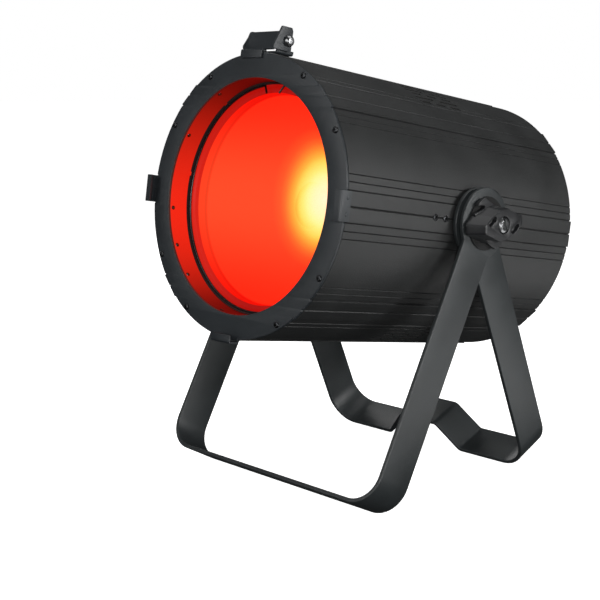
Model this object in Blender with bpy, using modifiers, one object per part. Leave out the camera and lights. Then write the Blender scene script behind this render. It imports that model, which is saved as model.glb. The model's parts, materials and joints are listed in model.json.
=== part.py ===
"""Par can light: LED stage lantern with a ribbed barrel, a swappable front lens and a double yoke.

Units are metres and +Z is up. The lantern stands on the crossbars of its two yokes, and the origin
lies on the floor under the middle of its bounding box.
Barrel pieces are modelled in the barrel's own axes: X right, Y up, Z along the axis to the front.
"""
import math

import bmesh
import bpy
from mathutils import Matrix

# Stance
BARREL_Y = 0.01604               # origin of the barrel's axes, behind the middle of the bounding box
BARREL_HEIGHT = 0.2568
BARREL_TILT = math.radians(8.65)
PIVOT_AHEAD = 0.0045             # tilt axis, along the barrel from the origin of its axes
PIVOT_Y = BARREL_Y - PIVOT_AHEAD * math.cos(BARREL_TILT)
PIVOT_HEIGHT = BARREL_HEIGHT + PIVOT_AHEAD * math.sin(BARREL_TILT)
FRONT_SPLAY = math.radians(28.45)
REAR_SPLAY = math.radians(23.3)

# Barrel extrusion
BODY_RADIUS = 0.1296
BAND_FLAT = 0.1301               # distance from the axis to the flat top of each raised band
BORE_RADIUS = 0.1265
BAND_COUNT = 8
FINE_LINES = (9.2, 12.2)         # degrees from a band's centre
BARREL_FRONT = 0.1752
BARREL_REAR = -0.1555
RING_FRONT = 0.178
RING_BACK = 0.1755
RING_BORE = 0.1074
RING_SCREW_CIRCLE = 0.1253
RING_SCREW_ANGLES = (30, 60, 120, 150, 210, 240, 300, 330)
GROOVE_SCREWS = (0.0606, 0.0464)   # along the barrel, in the groove of each side band
SCREW_SEAT = 0.1288

# Vents: four arrays of lengthwise slots, with rows of three short and two long slots in turn
VENT_ANGLES = (67.5, 112.5, 247.5, 292.5)
VENT_ROW_STEP = math.radians(3.6)
VENT_ROWS = (-3, -2, -1, 0, 1, 2, 3)
VENT_WIDTH = 0.0032
VENT_SHORT = (3, 0.0140, 0.0225)   # slots in the row, their length and their spacing
VENT_LONG = (2, 0.0260, 0.0365)

# Optics
SLEEVE_REAR = 0.141
CARRIER_FRONT = 0.157
CARRIER_RADIUS = 0.1068
CARRIER_APERTURE = 0.0982
LENS_FRONT = 0.1477
LENS_BACK = 0.1447
LENS_RADIUS = 0.1005
WIRE_CIRCLE = 0.1056
WIRE_RADIUS = 0.0012
EMITTER_FRONT = 0.0885

# Yokes: flat steel strip
STRIP_WIDTH = 0.040
STRIP_THICKNESS = 0.004
STRIP_BEND = 0.030               # outer radius of the two lower bends
EYE_RADIUS = 0.033
FRONT_YOKE_OUTER = 0.1432
REAR_YOKE_OUTER = 0.1354
HAT_HEIGHT = 0.028
HAT_TOP = 0.024
HAT_FOOT = 0.049
CLAMP_HOLE = 0.0065

# Pivot stack, from the barrel's side band outwards
STUD_RADIUS = 0.0058
STUD_HOLE = 0.0062
PAD_SPAN = (0.1304, 0.1311)
YOKE_WASHER_SPAN = (0.1357, 0.1389)
CLAMP_WASHER_SPAN = (0.1435, 0.1450)
KNOB_SPAN = (0.1453, 0.1650)
NUT_SPAN = (0.1560, 0.1660)

# Top latch
LATCH_PIN_Y = 0.142
LATCH_PIN_Z = 0.162
LATCH_PIN_RADIUS = 0.0024
LATCH_PIN_HOLE = 0.0027

# Rear panel
COVER_OUTER = -0.1500
COVER_INNER = -0.1475
COVER_RADIUS = 0.1258
FLANGE_OUTER = -0.1532
FLANGE_INNER = -0.1503
POWER_HOLE = 0.0120
DATA_HOLE = 0.0118
SOCKETS = (("power_inlet", -0.036, -0.052, POWER_HOLE), ("power_outlet", 0.036, -0.052, POWER_HOLE),
           ("data_inlet", -0.036, -0.008, DATA_HOLE), ("data_outlet", 0.036, -0.008, DATA_HOLE))
FUSE_X, FUSE_Y = 0.0, -0.052
DISPLAY_Y = 0.062
BUTTON_Y = 0.036
BUTTON_PITCH = 0.018
BUTTON_RADIUS = 0.0048

GAP = 0.0003                     # between pieces that touch
SPIN_STEPS = 48

scene = bpy.context.scene
for leftover in list(bpy.data.objects):
    bpy.data.objects.remove(leftover, do_unlink=True)
parts = bpy.data.collections.new("par_can_light")
tools = bpy.data.collections.new("cutters")
scene.collection.children.link(parts)
scene.collection.children.link(tools)


def finish(name, colour, roughness, metallic=0.0):
    """A Principled material of one colour."""
    material = bpy.data.materials.new(name)
    material.use_nodes = True
    shader = material.node_tree.nodes["Principled BSDF"]
    shader.inputs["Base Color"].default_value = (*colour, 1.0)
    shader.inputs["Roughness"].default_value = roughness
    shader.inputs["Metallic"].default_value = metallic
    return material


FINISHES = {
    "barrel_black": ((0.028, 0.029, 0.029), 0.55, 0.3),
    "ring_slate": ((0.040, 0.045, 0.050), 0.5, 0.3),
    "yoke_black": ((0.035, 0.039, 0.041), 0.5, 0.3),
    "knob_plastic": ((0.030, 0.031, 0.032), 0.45, 0.0),
    "bright_steel": ((0.60, 0.61, 0.62), 0.3, 1.0),
    "dark_steel": ((0.05, 0.05, 0.05), 0.4, 0.9),
    "fibre": ((0.02, 0.02, 0.02), 0.8, 0.0),
    "sleeve_silver": ((0.55, 0.55, 0.56), 0.4, 0.8),
    "lens_clear": ((0.85, 0.86, 0.88), 0.35, 0.0),
    "reflector_silver": ((0.8, 0.8, 0.8), 0.15, 1.0),
    "led_yellow": ((0.85, 0.68, 0.16), 0.5, 0.0),
    "heatsink_grey": ((0.35, 0.35, 0.36), 0.4, 0.9),
    "moulded_black": ((0.02, 0.02, 0.02), 0.5, 0.0),
    "circuit_green": ((0.02, 0.16, 0.07), 0.5, 0.0),
    "galvanised": ((0.55, 0.56, 0.57), 0.45, 0.9),
    "supply_case": ((0.50, 0.51, 0.52), 0.45, 0.9),
    "display_glass": ((0.01, 0.012, 0.015), 0.08, 0.0),
    "button_grey": ((0.22, 0.22, 0.23), 0.55, 0.0),
    "socket_blue": ((0.03, 0.10, 0.42), 0.45, 0.0),
    "socket_white": ((0.70, 0.70, 0.68), 0.45, 0.0),
}


def empty(name, location, rotation, parent=None):
    """An axis system that pieces hang on."""
    axes = bpy.data.objects.new(name, None)
    axes.empty_display_size = 0.05
    axes.location = location
    axes.rotation_euler = rotation
    axes.parent = parent
    parts.objects.link(axes)
    return axes


def add_object(name, mesh, parent, slot=None, location=(0, 0, 0), rotation=(0, 0, 0)):
    """Link a mesh as a sub-part, or as a hidden cutter when it has no finish."""
    piece = bpy.data.objects.new(name, mesh)
    piece.location = location
    piece.rotation_euler = rotation
    piece.parent = parent
    if slot is None:
        piece.hide_render = True
        piece.display_type = "WIRE"
        tools.objects.link(piece)
        return piece
    material = bpy.data.materials.get(name) or finish(name, *FINISHES[slot])
    mesh.materials.clear()
    mesh.materials.append(material)
    parts.objects.link(piece)
    return piece


def smooth(piece, angle=30):
    """Shade a round piece smooth, with sharp edges above an angle in degrees."""
    piece.data.shade_smooth()
    piece.data.set_sharp_from_angle(angle=math.radians(angle))
    return piece


def circle(radius, count, x=0.0, y=0.0, start=0.0):
    """The points of a round outline."""
    turns = [start + 2 * math.pi * step / count for step in range(count)]
    return [(x + radius * math.cos(turn), y + radius * math.sin(turn)) for turn in turns]


def arc(x, y, radius, first, last, count):
    """Points along an arc, with both ends, from angles in degrees."""
    angles = [math.radians(first + (last - first) * step / count) for step in range(count + 1)]
    return [(x + radius * math.cos(angle), y + radius * math.sin(angle)) for angle in angles]


def rectangle(width, height, x=0.0, y=0.0):
    """The corners of an upright rectangle."""
    w, h = width / 2, height / 2
    return [(x - w, y - h), (x + w, y - h), (x + w, y + h), (x - w, y + h)]


def rounded_slot(length, width, x, y):
    """A level slot with round ends."""
    reach = (length - width) / 2
    return (arc(x + reach, y, width / 2, -90, 90, 4) + arc(x - reach, y, width / 2, 90, 270, 4))


def plate_mesh(name, loops, low, high):
    """A flat outline with holes, extruded from low to high along Z."""
    curve = bpy.data.curves.new(name, "CURVE")
    curve.dimensions = "2D"
    curve.fill_mode = "BOTH"
    curve.extrude = (high - low) / 2
    for loop in loops:
        spline = curve.splines.new("POLY")
        spline.points.add(len(loop) - 1)
        for point, (x, y) in zip(spline.points, loop):
            point.co = (x, y, 0, 1)
        spline.use_cyclic_u = True
    return mesh_from_curve(name, curve, (high + low) / 2)


def mesh_from_curve(name, curve, lift=0.0):
    """The closed mesh of a curve, with its loose caps welded."""
    holder = bpy.data.objects.new(name, curve)
    scene.collection.objects.link(holder)
    bpy.context.view_layer.update()
    evaluated = holder.evaluated_get(bpy.context.evaluated_depsgraph_get())
    mesh = bpy.data.meshes.new_from_object(evaluated)
    bpy.data.objects.remove(holder)
    bpy.data.curves.remove(curve)
    mesh.name = name
    shape = bmesh.new()
    shape.from_mesh(mesh)
    bmesh.ops.remove_doubles(shape, verts=shape.verts, dist=1e-6)
    bmesh.ops.translate(shape, verts=shape.verts, vec=(0, 0, lift))
    bmesh.ops.recalc_face_normals(shape, faces=shape.faces)
    shape.to_mesh(mesh)
    shape.free()
    return mesh


def plate(name, loops, low, high, parent, slot=None, **place):
    """A flat piece cut from sheet or bar."""
    return add_object(name, plate_mesh(name, loops, low, high), parent, slot, **place)


def box_mesh(name, boxes):
    """Boxes given by their low and high corners, as one mesh."""
    shape = bmesh.new()
    for low, high in boxes:
        middle = [(a + b) / 2 for a, b in zip(low, high)]
        size = [b - a for a, b in zip(low, high)]
        matrix = Matrix.Translation(middle) @ Matrix.Diagonal((*size, 1))
        bmesh.ops.create_cube(shape, size=1, matrix=matrix)
    mesh = bpy.data.meshes.new(name)
    shape.to_mesh(mesh)
    shape.free()
    return mesh


def box(name, low, high, parent, slot=None, **place):
    """One box between two corners."""
    return add_object(name, box_mesh(name, [(low, high)]), parent, slot, **place)


def rod(name, radius, low, high, parent, slot=None, sides=24, **place):
    """A round bar along Z from low to high."""
    shape = bmesh.new()
    matrix = Matrix.Translation((0, 0, (low + high) / 2))
    bmesh.ops.create_cone(shape, cap_ends=True, segments=sides, radius1=radius, radius2=radius,
                          depth=high - low, matrix=matrix)
    mesh = bpy.data.meshes.new(name)
    shape.to_mesh(mesh)
    shape.free()
    return add_object(name, mesh, parent, slot, **place)


def turned(name, profile, parent, slot=None, steps=SPIN_STEPS, ring=True, **place):
    """A profile of (radius, height) points spun about Z; a ring's profile closes on itself."""
    mesh = bpy.data.meshes.new(name)
    points = [(radius, 0, height) for radius, height in profile]
    edges = [(index, index + 1) for index in range(len(points) - 1)]
    if ring:
        edges.append((len(points) - 1, 0))
    mesh.from_pydata(points, edges, [])
    piece = add_object(name, mesh, parent, slot, **place)
    screw = piece.modifiers.new("spin", "SCREW")
    screw.angle = 2 * math.pi
    screw.steps = steps
    screw.render_steps = steps
    screw.use_merge_vertices = True
    screw.merge_threshold = 1e-5
    screw.use_smooth_shade = True
    return piece


def washer(name, bore, radius, low, high, parent, slot, steps=24, **place):
    """A flat round ring."""
    profile = [(radius, high), (radius, low), (bore, low), (bore, high)]
    return turned(name, profile, parent, slot, steps=steps, **place)


def combine(piece, other, operation="DIFFERENCE"):
    """Cut a piece with a hidden shape, or join that shape to it."""
    boolean = piece.modifiers.new(operation.lower(), "BOOLEAN")
    boolean.operation = operation
    boolean.object = other
    boolean.solver = "EXACT"
    return piece


# ---------------------------------------------------------------- axis systems

pivot = (0, PIVOT_Y, PIVOT_HEIGHT)
barrel_axes = empty("barrel_axes", (0, BARREL_Y, BARREL_HEIGHT), (math.pi / 2 - BARREL_TILT, 0, 0))
front_yoke_axes = empty("front_yoke_axes", pivot, (math.pi / 2 - FRONT_SPLAY, 0, 0))
rear_yoke_axes = empty("rear_yoke_axes", pivot, (math.pi / 2 + REAR_SPLAY, 0, 0))
side_axes = {"right": empty("pivot_right", pivot, (0, math.pi / 2, 0)),
             "left": empty("pivot_left", pivot, (0, -math.pi / 2, 0))}


# ---------------------------------------------------------------- barrel

def band_section(fine_lines):
    """One side of a raised band: (angle from its centre in degrees, radius), outwards."""
    foot = BODY_RADIUS - 0.0009
    line = BODY_RADIUS - 0.0006
    edge = 5.75
    groove = 0.36
    section = [(groove * 0.6, BAND_FLAT - 0.0013), (groove, BAND_FLAT)]
    section.append((edge, BAND_FLAT / math.cos(math.radians(edge))))
    section += [(edge + 0.12, foot), (edge + 0.45, foot), (edge + 0.6, BODY_RADIUS)]
    for centre in fine_lines:
        section += [(centre - 0.22, BODY_RADIUS), (centre, line), (centre + 0.22, BODY_RADIUS)]
    if not fine_lines:
        section.append((10.7, BODY_RADIUS))
    section.append((17.3, BODY_RADIUS))
    return section


def band_outline(fine_lines=()):
    """The barrel's outer outline: eight bands, each with a centre groove, a foot and fine lines."""
    side = band_section(fine_lines)
    outline = []
    for band in range(BAND_COUNT):
        middle = 360 / BAND_COUNT * band
        offsets = [(-angle, radius) for angle, radius in reversed(side)] + side
        offsets.append((180 / BAND_COUNT, BODY_RADIUS))
        for angle, radius in offsets:
            turn = math.radians(middle + angle)
            outline.append((radius * math.cos(turn), radius * math.sin(turn)))
    return outline


def make_vent_cutter():
    """Lengthwise slots in four arrays, through the barrel wall."""
    shape = bmesh.new()
    for centre in VENT_ANGLES:
        for row in VENT_ROWS:
            slots, length, pitch = VENT_SHORT if row % 2 else VENT_LONG
            turn = Matrix.Rotation(math.radians(centre) + row * VENT_ROW_STEP, 4, "Z")
            for slot in range(slots):
                along = (slot - (slots - 1) / 2) * pitch
                place = Matrix.Translation((BODY_RADIUS, 0, along))
                size = Matrix.Diagonal((0.016, VENT_WIDTH, length, 1))
                bmesh.ops.create_cube(shape, size=1, matrix=turn @ place @ size)
    mesh = bpy.data.meshes.new("vent_slots")
    shape.to_mesh(mesh)
    shape.free()
    return add_object("vent_slots", mesh, barrel_axes)


def make_barrel():
    """The ribbed extrusion with its vents, pivot holes and screw seats."""
    loops = [band_outline(FINE_LINES), circle(BORE_RADIUS, 48)]
    shell = plate("barrel_shell", loops, BARREL_REAR, BARREL_FRONT, barrel_axes, "barrel_black")
    smooth(shell, 20)
    combine(shell, make_vent_cutter())
    drill = rod("pivot_drill", STUD_HOLE, -0.14, 0.14, barrel_axes, sides=24,
                location=(0, 0, PIVOT_AHEAD), rotation=(0, math.pi / 2, 0))
    combine(shell, drill)
    for side, sign in (("right", 1), ("left", -1)):
        for number, along in enumerate(GROOVE_SCREWS, 1):
            turn = (0, sign * math.pi / 2, 0)
            seat = rod(f"seat_{side}_{number}", 0.0032, SCREW_SEAT, 0.14, barrel_axes, sides=20,
                       location=(0, 0, along), rotation=turn)
            combine(shell, seat)
            head = rod(f"groove_screw_{side}_{number}", 0.0028, SCREW_SEAT + GAP, BAND_FLAT, barrel_axes,
                       "dark_steel", sides=20, location=(0, 0, along), rotation=turn)
            smooth(head)


def make_front_ring():
    """The flat front ring, with the barrel's outline, and its eight screws."""
    angles = [math.radians(angle) for angle in RING_SCREW_ANGLES]
    places = [(RING_SCREW_CIRCLE * math.cos(a), RING_SCREW_CIRCLE * math.sin(a)) for a in angles]
    loops = [band_outline(), circle(RING_BORE, 72)]
    loops += [circle(0.0017, 8, x, y) for x, y in places]
    smooth(plate("front_ring", loops, RING_BACK, RING_FRONT, barrel_axes, "ring_slate"), 20)
    head = [(0, 0.0017), (0.0022, 0.0012), (0.0028, GAP), (0.0014, GAP), (0.0014, -0.0022), (0, -0.0022)]
    for number, (x, y) in enumerate(places, 1):
        turned(f"ring_screw_{number}", head, barrel_axes, "dark_steel", steps=10, ring=False,
               location=(x, y, RING_FRONT))


def make_accessory_clips():
    """Three hooks on the ring's rim that hold a colour frame: left, right and below."""
    foot, skin, reach = RING_BACK, 0.1331, 0.1875
    lip = 0.1252
    sheet = 0.0018
    inside = BAND_FLAT + GAP + 0.0006
    section = [(foot, inside), (reach - sheet, inside), (reach - sheet, lip), (reach, lip), (reach, skin),
               (foot, skin)]
    upright = Matrix(((0, 1, 0, 0), (0, 0, 1, 0), (1, 0, 0, 0), (0, 0, 0, 1)))
    for name, turn in (("right", 0), ("left", math.pi), ("bottom", -math.pi / 2)):
        mesh = plate_mesh(f"accessory_clip_{name}", [section], -0.013, 0.013)
        mesh.transform(Matrix.Rotation(turn, 4, "Z") @ upright)
        add_object(f"accessory_clip_{name}", mesh, barrel_axes, "ring_slate")


# ---------------------------------------------------------------- top latch

LATCH_TURN = Matrix(((0, 0, 1, 0), (0, 1, 0, 0), (1, 0, 0, 0), (0, 0, 0, 1)))


def side_plate(name, outline, low, high, slot=None, holes=(), location=(0, 0, 0)):
    """A plate square to X: its outline is given as (along the barrel, up)."""
    mesh = plate_mesh(name, [outline, *holes], low, high)
    mesh.transform(LATCH_TURN)
    mesh.flip_normals()
    return add_object(name, mesh, barrel_axes, slot, location=location)


def make_latch():
    """The sprung gate above the ring, its bracket, pin and torsion spring."""
    seat = BAND_FLAT + GAP
    pin = (LATCH_PIN_Z, LATCH_PIN_Y)
    bracket = box("latch_bracket", (-0.017, seat, 0.150), (0.017, seat + 0.0018, 0.1705), barrel_axes,
                  "ring_slate")
    ear = [(0.153, seat + 0.0005), (0.169, seat + 0.0005), (0.169, 0.140), *arc(*pin, 0.0055, 20, 160, 6),
           (0.155, 0.140)]
    hole = circle(LATCH_PIN_HOLE, 20, *pin)
    for side, low in (("right", 0.0152), ("left", -0.0170)):
        combine(bracket, side_plate(f"bracket_ear_{side}", ear, low, low + 0.0018, holes=[hole]), "UNION")

    hinge = (0, LATCH_PIN_Y, LATCH_PIN_Z)
    cheek = [(-0.0055, -0.0090), (0.0165, -0.0090), (0.0175, -0.0070), (0.0075, 0.0125), (-0.0045, 0.0125),
             (-0.0055, 0.0115)]
    flap = [(0.0148, -0.0090), (0.0184, -0.0090), (0.0184, -0.0172), (0.0166, -0.0172), (0.0166, -0.0108),
            (0.0146, -0.0108), (0.0082, 0.0072), (0.0100, 0.0080)]
    gate = side_plate("latch_gate", flap, -0.0205, 0.0205, "ring_slate", location=hinge)
    notch = box("latch_notch", (0.008, -0.02, 0.0155), (0.03, -0.0096, 0.03), barrel_axes, location=hinge)
    combine(gate, notch)
    own_hole = circle(LATCH_PIN_HOLE, 20)
    for side, low in (("right", 0.0190), ("left", -0.0210)):
        combine(gate, side_plate(f"gate_cheek_{side}", cheek, low, low + 0.0020, holes=[own_hole],
                                 location=hinge), "UNION")

    bolt = [(0, 0.0258), (0.0048, 0.0258), (0.0054, 0.0250), (0.0054, 0.0214), (LATCH_PIN_RADIUS, 0.0214),
            (LATCH_PIN_RADIUS, -0.0250), (0, -0.0250)]
    turned("latch_bolt", bolt, barrel_axes, "bright_steel", steps=12, ring=False, location=hinge,
           rotation=(0, math.pi / 2, 0))
    coil = bpy.data.curves.new("latch_spring", "CURVE")
    coil.dimensions = "3D"
    coil.bevel_depth = 0.0006
    coil.bevel_resolution = 0
    coil.use_fill_caps = True
    turns, per_turn, radius, width = 4, 12, 0.0040, 0.012
    count = turns * per_turn + 1
    spline = coil.splines.new("POLY")
    spline.points.add(count - 1)
    for index, point in enumerate(spline.points):
        angle = 2 * math.pi * index / per_turn
        along = width * (index / (count - 1) - 0.5)
        point.co = (along, radius * math.sin(angle), radius * math.cos(angle), 1)
    smooth(add_object("latch_spring", mesh_from_curve("latch_spring", coil), barrel_axes, "bright_steel",
                      location=hinge), 60)


# ---------------------------------------------------------------- optics and inside

def make_optics():
    """The front sleeve, lens cartridge, reflector and light source."""
    sleeve = [(0.1092, RING_BACK - GAP), (0.1092, SLEEVE_REAR - 0.0016), (0.0990, SLEEVE_REAR - 0.0016),
              (0.0990, SLEEVE_REAR), (RING_BORE, SLEEVE_REAR), (RING_BORE, RING_BACK - GAP)]
    turned("front_sleeve", sleeve, barrel_axes, "sleeve_silver")
    carrier = [(CARRIER_RADIUS, CARRIER_FRONT), (CARRIER_RADIUS, SLEEVE_REAR + GAP),
               (LENS_RADIUS + 0.0004, SLEEVE_REAR + GAP), (LENS_RADIUS + 0.0004, LENS_FRONT + GAP),
               (CARRIER_APERTURE, LENS_FRONT + GAP), (CARRIER_APERTURE, LENS_FRONT + 0.0012),
               (0.1035, CARRIER_FRONT)]
    turned("lens_carrier", carrier, barrel_axes, "sleeve_silver")
    lens = [(0, LENS_FRONT), (LENS_RADIUS, LENS_FRONT), (LENS_RADIUS, LENS_BACK), (0, LENS_BACK)]
    turned("lens", lens, barrel_axes, "lens_clear", ring=False)

    wire = bpy.data.curves.new("retaining_wire", "CURVE")
    wire.dimensions = "3D"
    wire.bevel_depth = WIRE_RADIUS
    wire.bevel_resolution = 0
    wire.use_fill_caps = True
    height = CARRIER_FRONT + WIRE_RADIUS + GAP
    route = arc(0, 0, WIRE_CIRCLE, 102, 438, 56)
    first, last = (arc(0, 0, WIRE_CIRCLE - 0.007, angle, angle, 1)[0] for angle in (99, 441))
    route = [first, *route, last]
    spline = wire.splines.new("POLY")
    spline.points.add(len(route) - 1)
    for point, (x, y) in zip(spline.points, route):
        point.co = (x, y, height, 1)
    loop = add_object("retaining_wire", mesh_from_curve("retaining_wire", wire), barrel_axes, "dark_steel")
    smooth(loop, 60)

    rim, throat, wall = 0.0960, 0.0250, 0.0012
    front, back = SLEEVE_REAR - 0.0030, EMITTER_FRONT + 0.0008
    inner = []
    rows = 3
    for step in range(rows + 1):
        share = step / rows
        inner.append((throat + (rim - throat) * math.sqrt(share), back + (front - back) * share))
    outer = [(radius + wall, height) for radius, height in reversed(inner)]
    turned("reflector", outer + inner, barrel_axes, "reflector_silver", steps=32)

    board = box("led_module", (-0.029, -0.029, 0.0842), (0.029, 0.029, 0.0870), barrel_axes, "led_yellow")
    combine(board, rod("led_dome", 0.0210, 0.0860, EMITTER_FRONT, barrel_axes, sides=40), "UNION")


def make_cooling():
    """The finned heatsink and its fan."""
    fins, core, tip, half = 24, 0.042, 0.100, 0.0012
    outline = []
    for fin in range(fins):
        turn = 2 * math.pi * fin / fins
        for radius, side in ((core, -half), (tip, -half), (tip, half), (core, half)):
            outline.append((radius * math.cos(turn) - side * math.sin(turn),
                            radius * math.sin(turn) + side * math.cos(turn)))
    plate("heatsink", [outline], 0.012, 0.0839, barrel_axes, "heatsink_grey")

    size, bore, hub = 0.119, 0.0575, 0.022
    frame = plate("fan_frame", [rectangle(size, size), circle(bore, 48)], -0.0180, 0.0070, barrel_axes,
                  "moulded_black")
    spider = [rectangle(0.004, 0.118), rectangle(0.118, 0.004)]
    for number, strut in enumerate(spider, 1):
        combine(frame, plate(f"fan_strut_{number}", [strut], -0.0178, -0.0158, barrel_axes), "UNION")
    combine(frame, rod("fan_centre", hub, -0.0178, -0.0150, barrel_axes), "UNION")

    rotor = rod("fan_rotor", 0.0205, -0.0145, 0.0055, barrel_axes, "moulded_black", sides=40)
    blades = 7
    for blade in range(blades):
        mesh = box_mesh("blade", [((0.018, -0.0008, -0.009), (0.0555, 0.0008, 0.009))])
        turn = Matrix.Rotation(2 * math.pi * blade / blades, 4, "Z")
        mesh.transform(Matrix.Translation((0, 0, -0.0045)) @ turn @ Matrix.Rotation(math.radians(50), 4, "X"))
        combine(rotor, add_object(f"fan_blade_{blade + 1}", mesh, barrel_axes), "UNION")


def make_electronics():
    """The plate across the barrel, the power supply and the control board."""
    hole_circle, hole = 0.085, 0.010
    loops = [circle(BORE_RADIUS - GAP - 0.0005, 56)]
    loops += [circle(hole, 12, *arc(0, 0, hole_circle, angle, angle, 1)[0]) for angle in range(30, 390, 60)]
    plate("chassis_plate", loops, -0.0240, -0.0220, barrel_axes, "galvanised")
    supply = box("power_supply", (-0.078, -0.040, -0.0760), (0.078, 0.040, -0.0243), barrel_axes,
                 "supply_case")
    lid_step = box("supply_terminal_bay", (0.058, -0.034, -0.0800), (0.090, 0.034, -0.0560), barrel_axes)
    combine(supply, lid_step)
    board = box("control_board", (-0.052, 0.020, -0.1120), (0.052, 0.085, -0.1104), barrel_axes,
                "circuit_green")
    chips = (((-0.040, 0.030, -0.1180), (-0.012, 0.050, -0.1110)),
             ((0.004, 0.055, -0.1160), (0.022, 0.073, -0.1110)),
             ((0.030, 0.028, -0.1240), (0.044, 0.046, -0.1110)))
    for number, (low, high) in enumerate(chips, 1):
        combine(board, box(f"board_part_{number}", low, high, barrel_axes), "UNION")


# ---------------------------------------------------------------- rear panel

def make_rear_panel():
    """The recessed rear cover, with its sockets, fuse, display, buttons and safety eye."""
    buttons = [(BUTTON_PITCH * (index - 1.5), BUTTON_Y) for index in range(4)]
    loops = [circle(COVER_RADIUS, 64)]
    loops += [circle(hole, 24, x, y) for _, x, y, hole in SOCKETS]
    loops += [circle(0.0068, 16, FUSE_X, FUSE_Y), rectangle(0.056, 0.018, 0, DISPLAY_Y)]
    loops += [circle(BUTTON_RADIUS + GAP, 16, x, y) for x, y in buttons]
    for row in range(7):
        loops += [rectangle(0.030, 0.0036, side * 0.088, 0.0095 * (row - 3)) for side in (-1, 1)]
    loops += [circle(0.0024, 8, side * 0.011, -0.094) for side in (-1, 1)]
    smooth(plate("rear_cover", loops, COVER_OUTER, COVER_INNER, barrel_axes, "barrel_black"))

    for name, x, y, hole in SOCKETS:
        power = name.startswith("power")
        slot = {"power_inlet": "socket_blue", "power_outlet": "socket_white"}.get(name, "dark_steel")
        flange = [rectangle(0.026, 0.031)] if power else [rectangle(0.026, 0.029)]
        bore = hole - 0.0026
        socket = plate(name, flange, FLANGE_OUTER, FLANGE_INNER, barrel_axes, slot, location=(x, y, 0))
        combine(socket, rod(f"{name}_body", hole - GAP, FLANGE_INNER - 0.0010, -0.1270, barrel_axes,
                            location=(x, y, 0)), "UNION")
        combine(socket, rod(f"{name}_bore", bore, -0.16, -0.1400, barrel_axes, location=(x, y, 0)))

    holder = [(0, -0.1250), (0.0064, -0.1250), (0.0064, FLANGE_INNER), (0.0092, FLANGE_INNER),
              (0.0092, -0.1520), (0.0052, -0.1520), (0.0052, -0.1300), (0, -0.1300)]
    turned("fuse_holder", holder, barrel_axes, "moulded_black", steps=20, ring=False,
           location=(FUSE_X, FUSE_Y, 0))
    cap = [(0, -0.1320), (0.0049, -0.1320), (0.0049, -0.1523), (0.0080, -0.1523), (0.0080, -0.1555),
           (0, -0.1555)]
    fuse_cap = turned("fuse_cap", cap, barrel_axes, "moulded_black", steps=20, ring=False,
                      location=(FUSE_X, FUSE_Y, 0))
    combine(fuse_cap, box("cap_slot", (-0.006, -0.0007, -0.1560), (0.006, 0.0007, -0.1543), barrel_axes,
                          location=(FUSE_X, FUSE_Y, 0)))

    window = box("display_window", (-0.032, -0.012, -0.1518), (0.032, 0.012, FLANGE_INNER), barrel_axes,
                 "display_glass", location=(0, DISPLAY_Y, 0))
    combine(window, box("display_back", (-0.0275, -0.0085, -0.1505), (0.0275, 0.0085, -0.1440), barrel_axes,
                        location=(0, DISPLAY_Y, 0)), "UNION")
    key = [(0, -0.1430), (0.0060, -0.1430), (0.0060, -0.1455), (BUTTON_RADIUS, -0.1455),
           (BUTTON_RADIUS, -0.1525), (0.0040, -0.1533), (0, -0.1533)]
    for number, (x, y) in enumerate(buttons, 1):
        turned(f"menu_button_{number}", key, barrel_axes, "button_grey", steps=12, ring=False,
               location=(x, y, 0))

    eye = bpy.data.curves.new("safety_eye", "CURVE")
    eye.dimensions = "3D"
    eye.bevel_depth = 0.0020
    eye.bevel_resolution = 1
    eye.use_fill_caps = True
    reach = -0.1640
    bow = [(0.011 * math.cos(math.radians(angle)), reach - 0.011 * math.sin(math.radians(angle)))
           for angle in range(0, 181, 15)]
    route = [(0.011, -0.1440), *bow, (-0.011, -0.1440)]
    spline = eye.splines.new("POLY")
    spline.points.add(len(route) - 1)
    for point, (x, z) in zip(spline.points, route):
        point.co = (x, -0.094, z, 1)
    loop = add_object("safety_eye", mesh_from_curve("safety_eye", eye), barrel_axes, "bright_steel")
    smooth(loop, 60)


# ---------------------------------------------------------------- yokes

def bar_distance(splay):
    """Pivot to the crossbar's outer face, for a yoke whose lower edge meets the floor."""
    return (PIVOT_HEIGHT - STRIP_WIDTH / 2 * math.sin(splay)) / math.cos(splay)


def strip_outline(outer, distance, hat):
    """The bent strip seen along its width: crossbar, two bends and the lower legs."""
    bend, sheet = STRIP_BEND, STRIP_THICKNESS
    leg_end = -distance + 0.060
    left = arc(-outer + bend, -distance + bend, bend, 180, 270, 6)
    right = arc(outer - bend, -distance + bend, bend, 270, 360, 6)
    inner_right = arc(outer - bend, -distance + bend, bend - sheet, 360, 270, 6)
    inner_left = arc(-outer + bend, -distance + bend, bend - sheet, 270, 180, 6)
    below, above = [], []
    if hat:
        slant = (HAT_FOOT - HAT_TOP) / HAT_HEIGHT
        shift = sheet * (math.sqrt(1 + slant * slant) - slant)
        low, high = -distance, -distance + HAT_HEIGHT
        below = [(-HAT_FOOT, low), (-HAT_TOP, high), (HAT_TOP, high), (HAT_FOOT, low)]
        above = [(HAT_FOOT + shift, low + sheet), (HAT_TOP + shift, high + sheet),
                 (-HAT_TOP - shift, high + sheet), (-HAT_FOOT - shift, low + sheet)]
    return ([(-outer, leg_end), *left, *below, *right, (outer, leg_end), (outer - sheet, leg_end),
             *inner_right, *above, *inner_left, (-outer + sheet, leg_end)])


def leg_outline(distance):
    """A leg seen from the side: a round eye on a straight strip."""
    half = STRIP_WIDTH / 2
    spread = math.degrees(math.asin(half / EYE_RADIUS))
    eye = arc(0, 0, EYE_RADIUS, -90 + spread, 270 - spread, 28)
    return [*eye, (-half, -distance + 0.050), (half, -distance + 0.050)]


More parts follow.
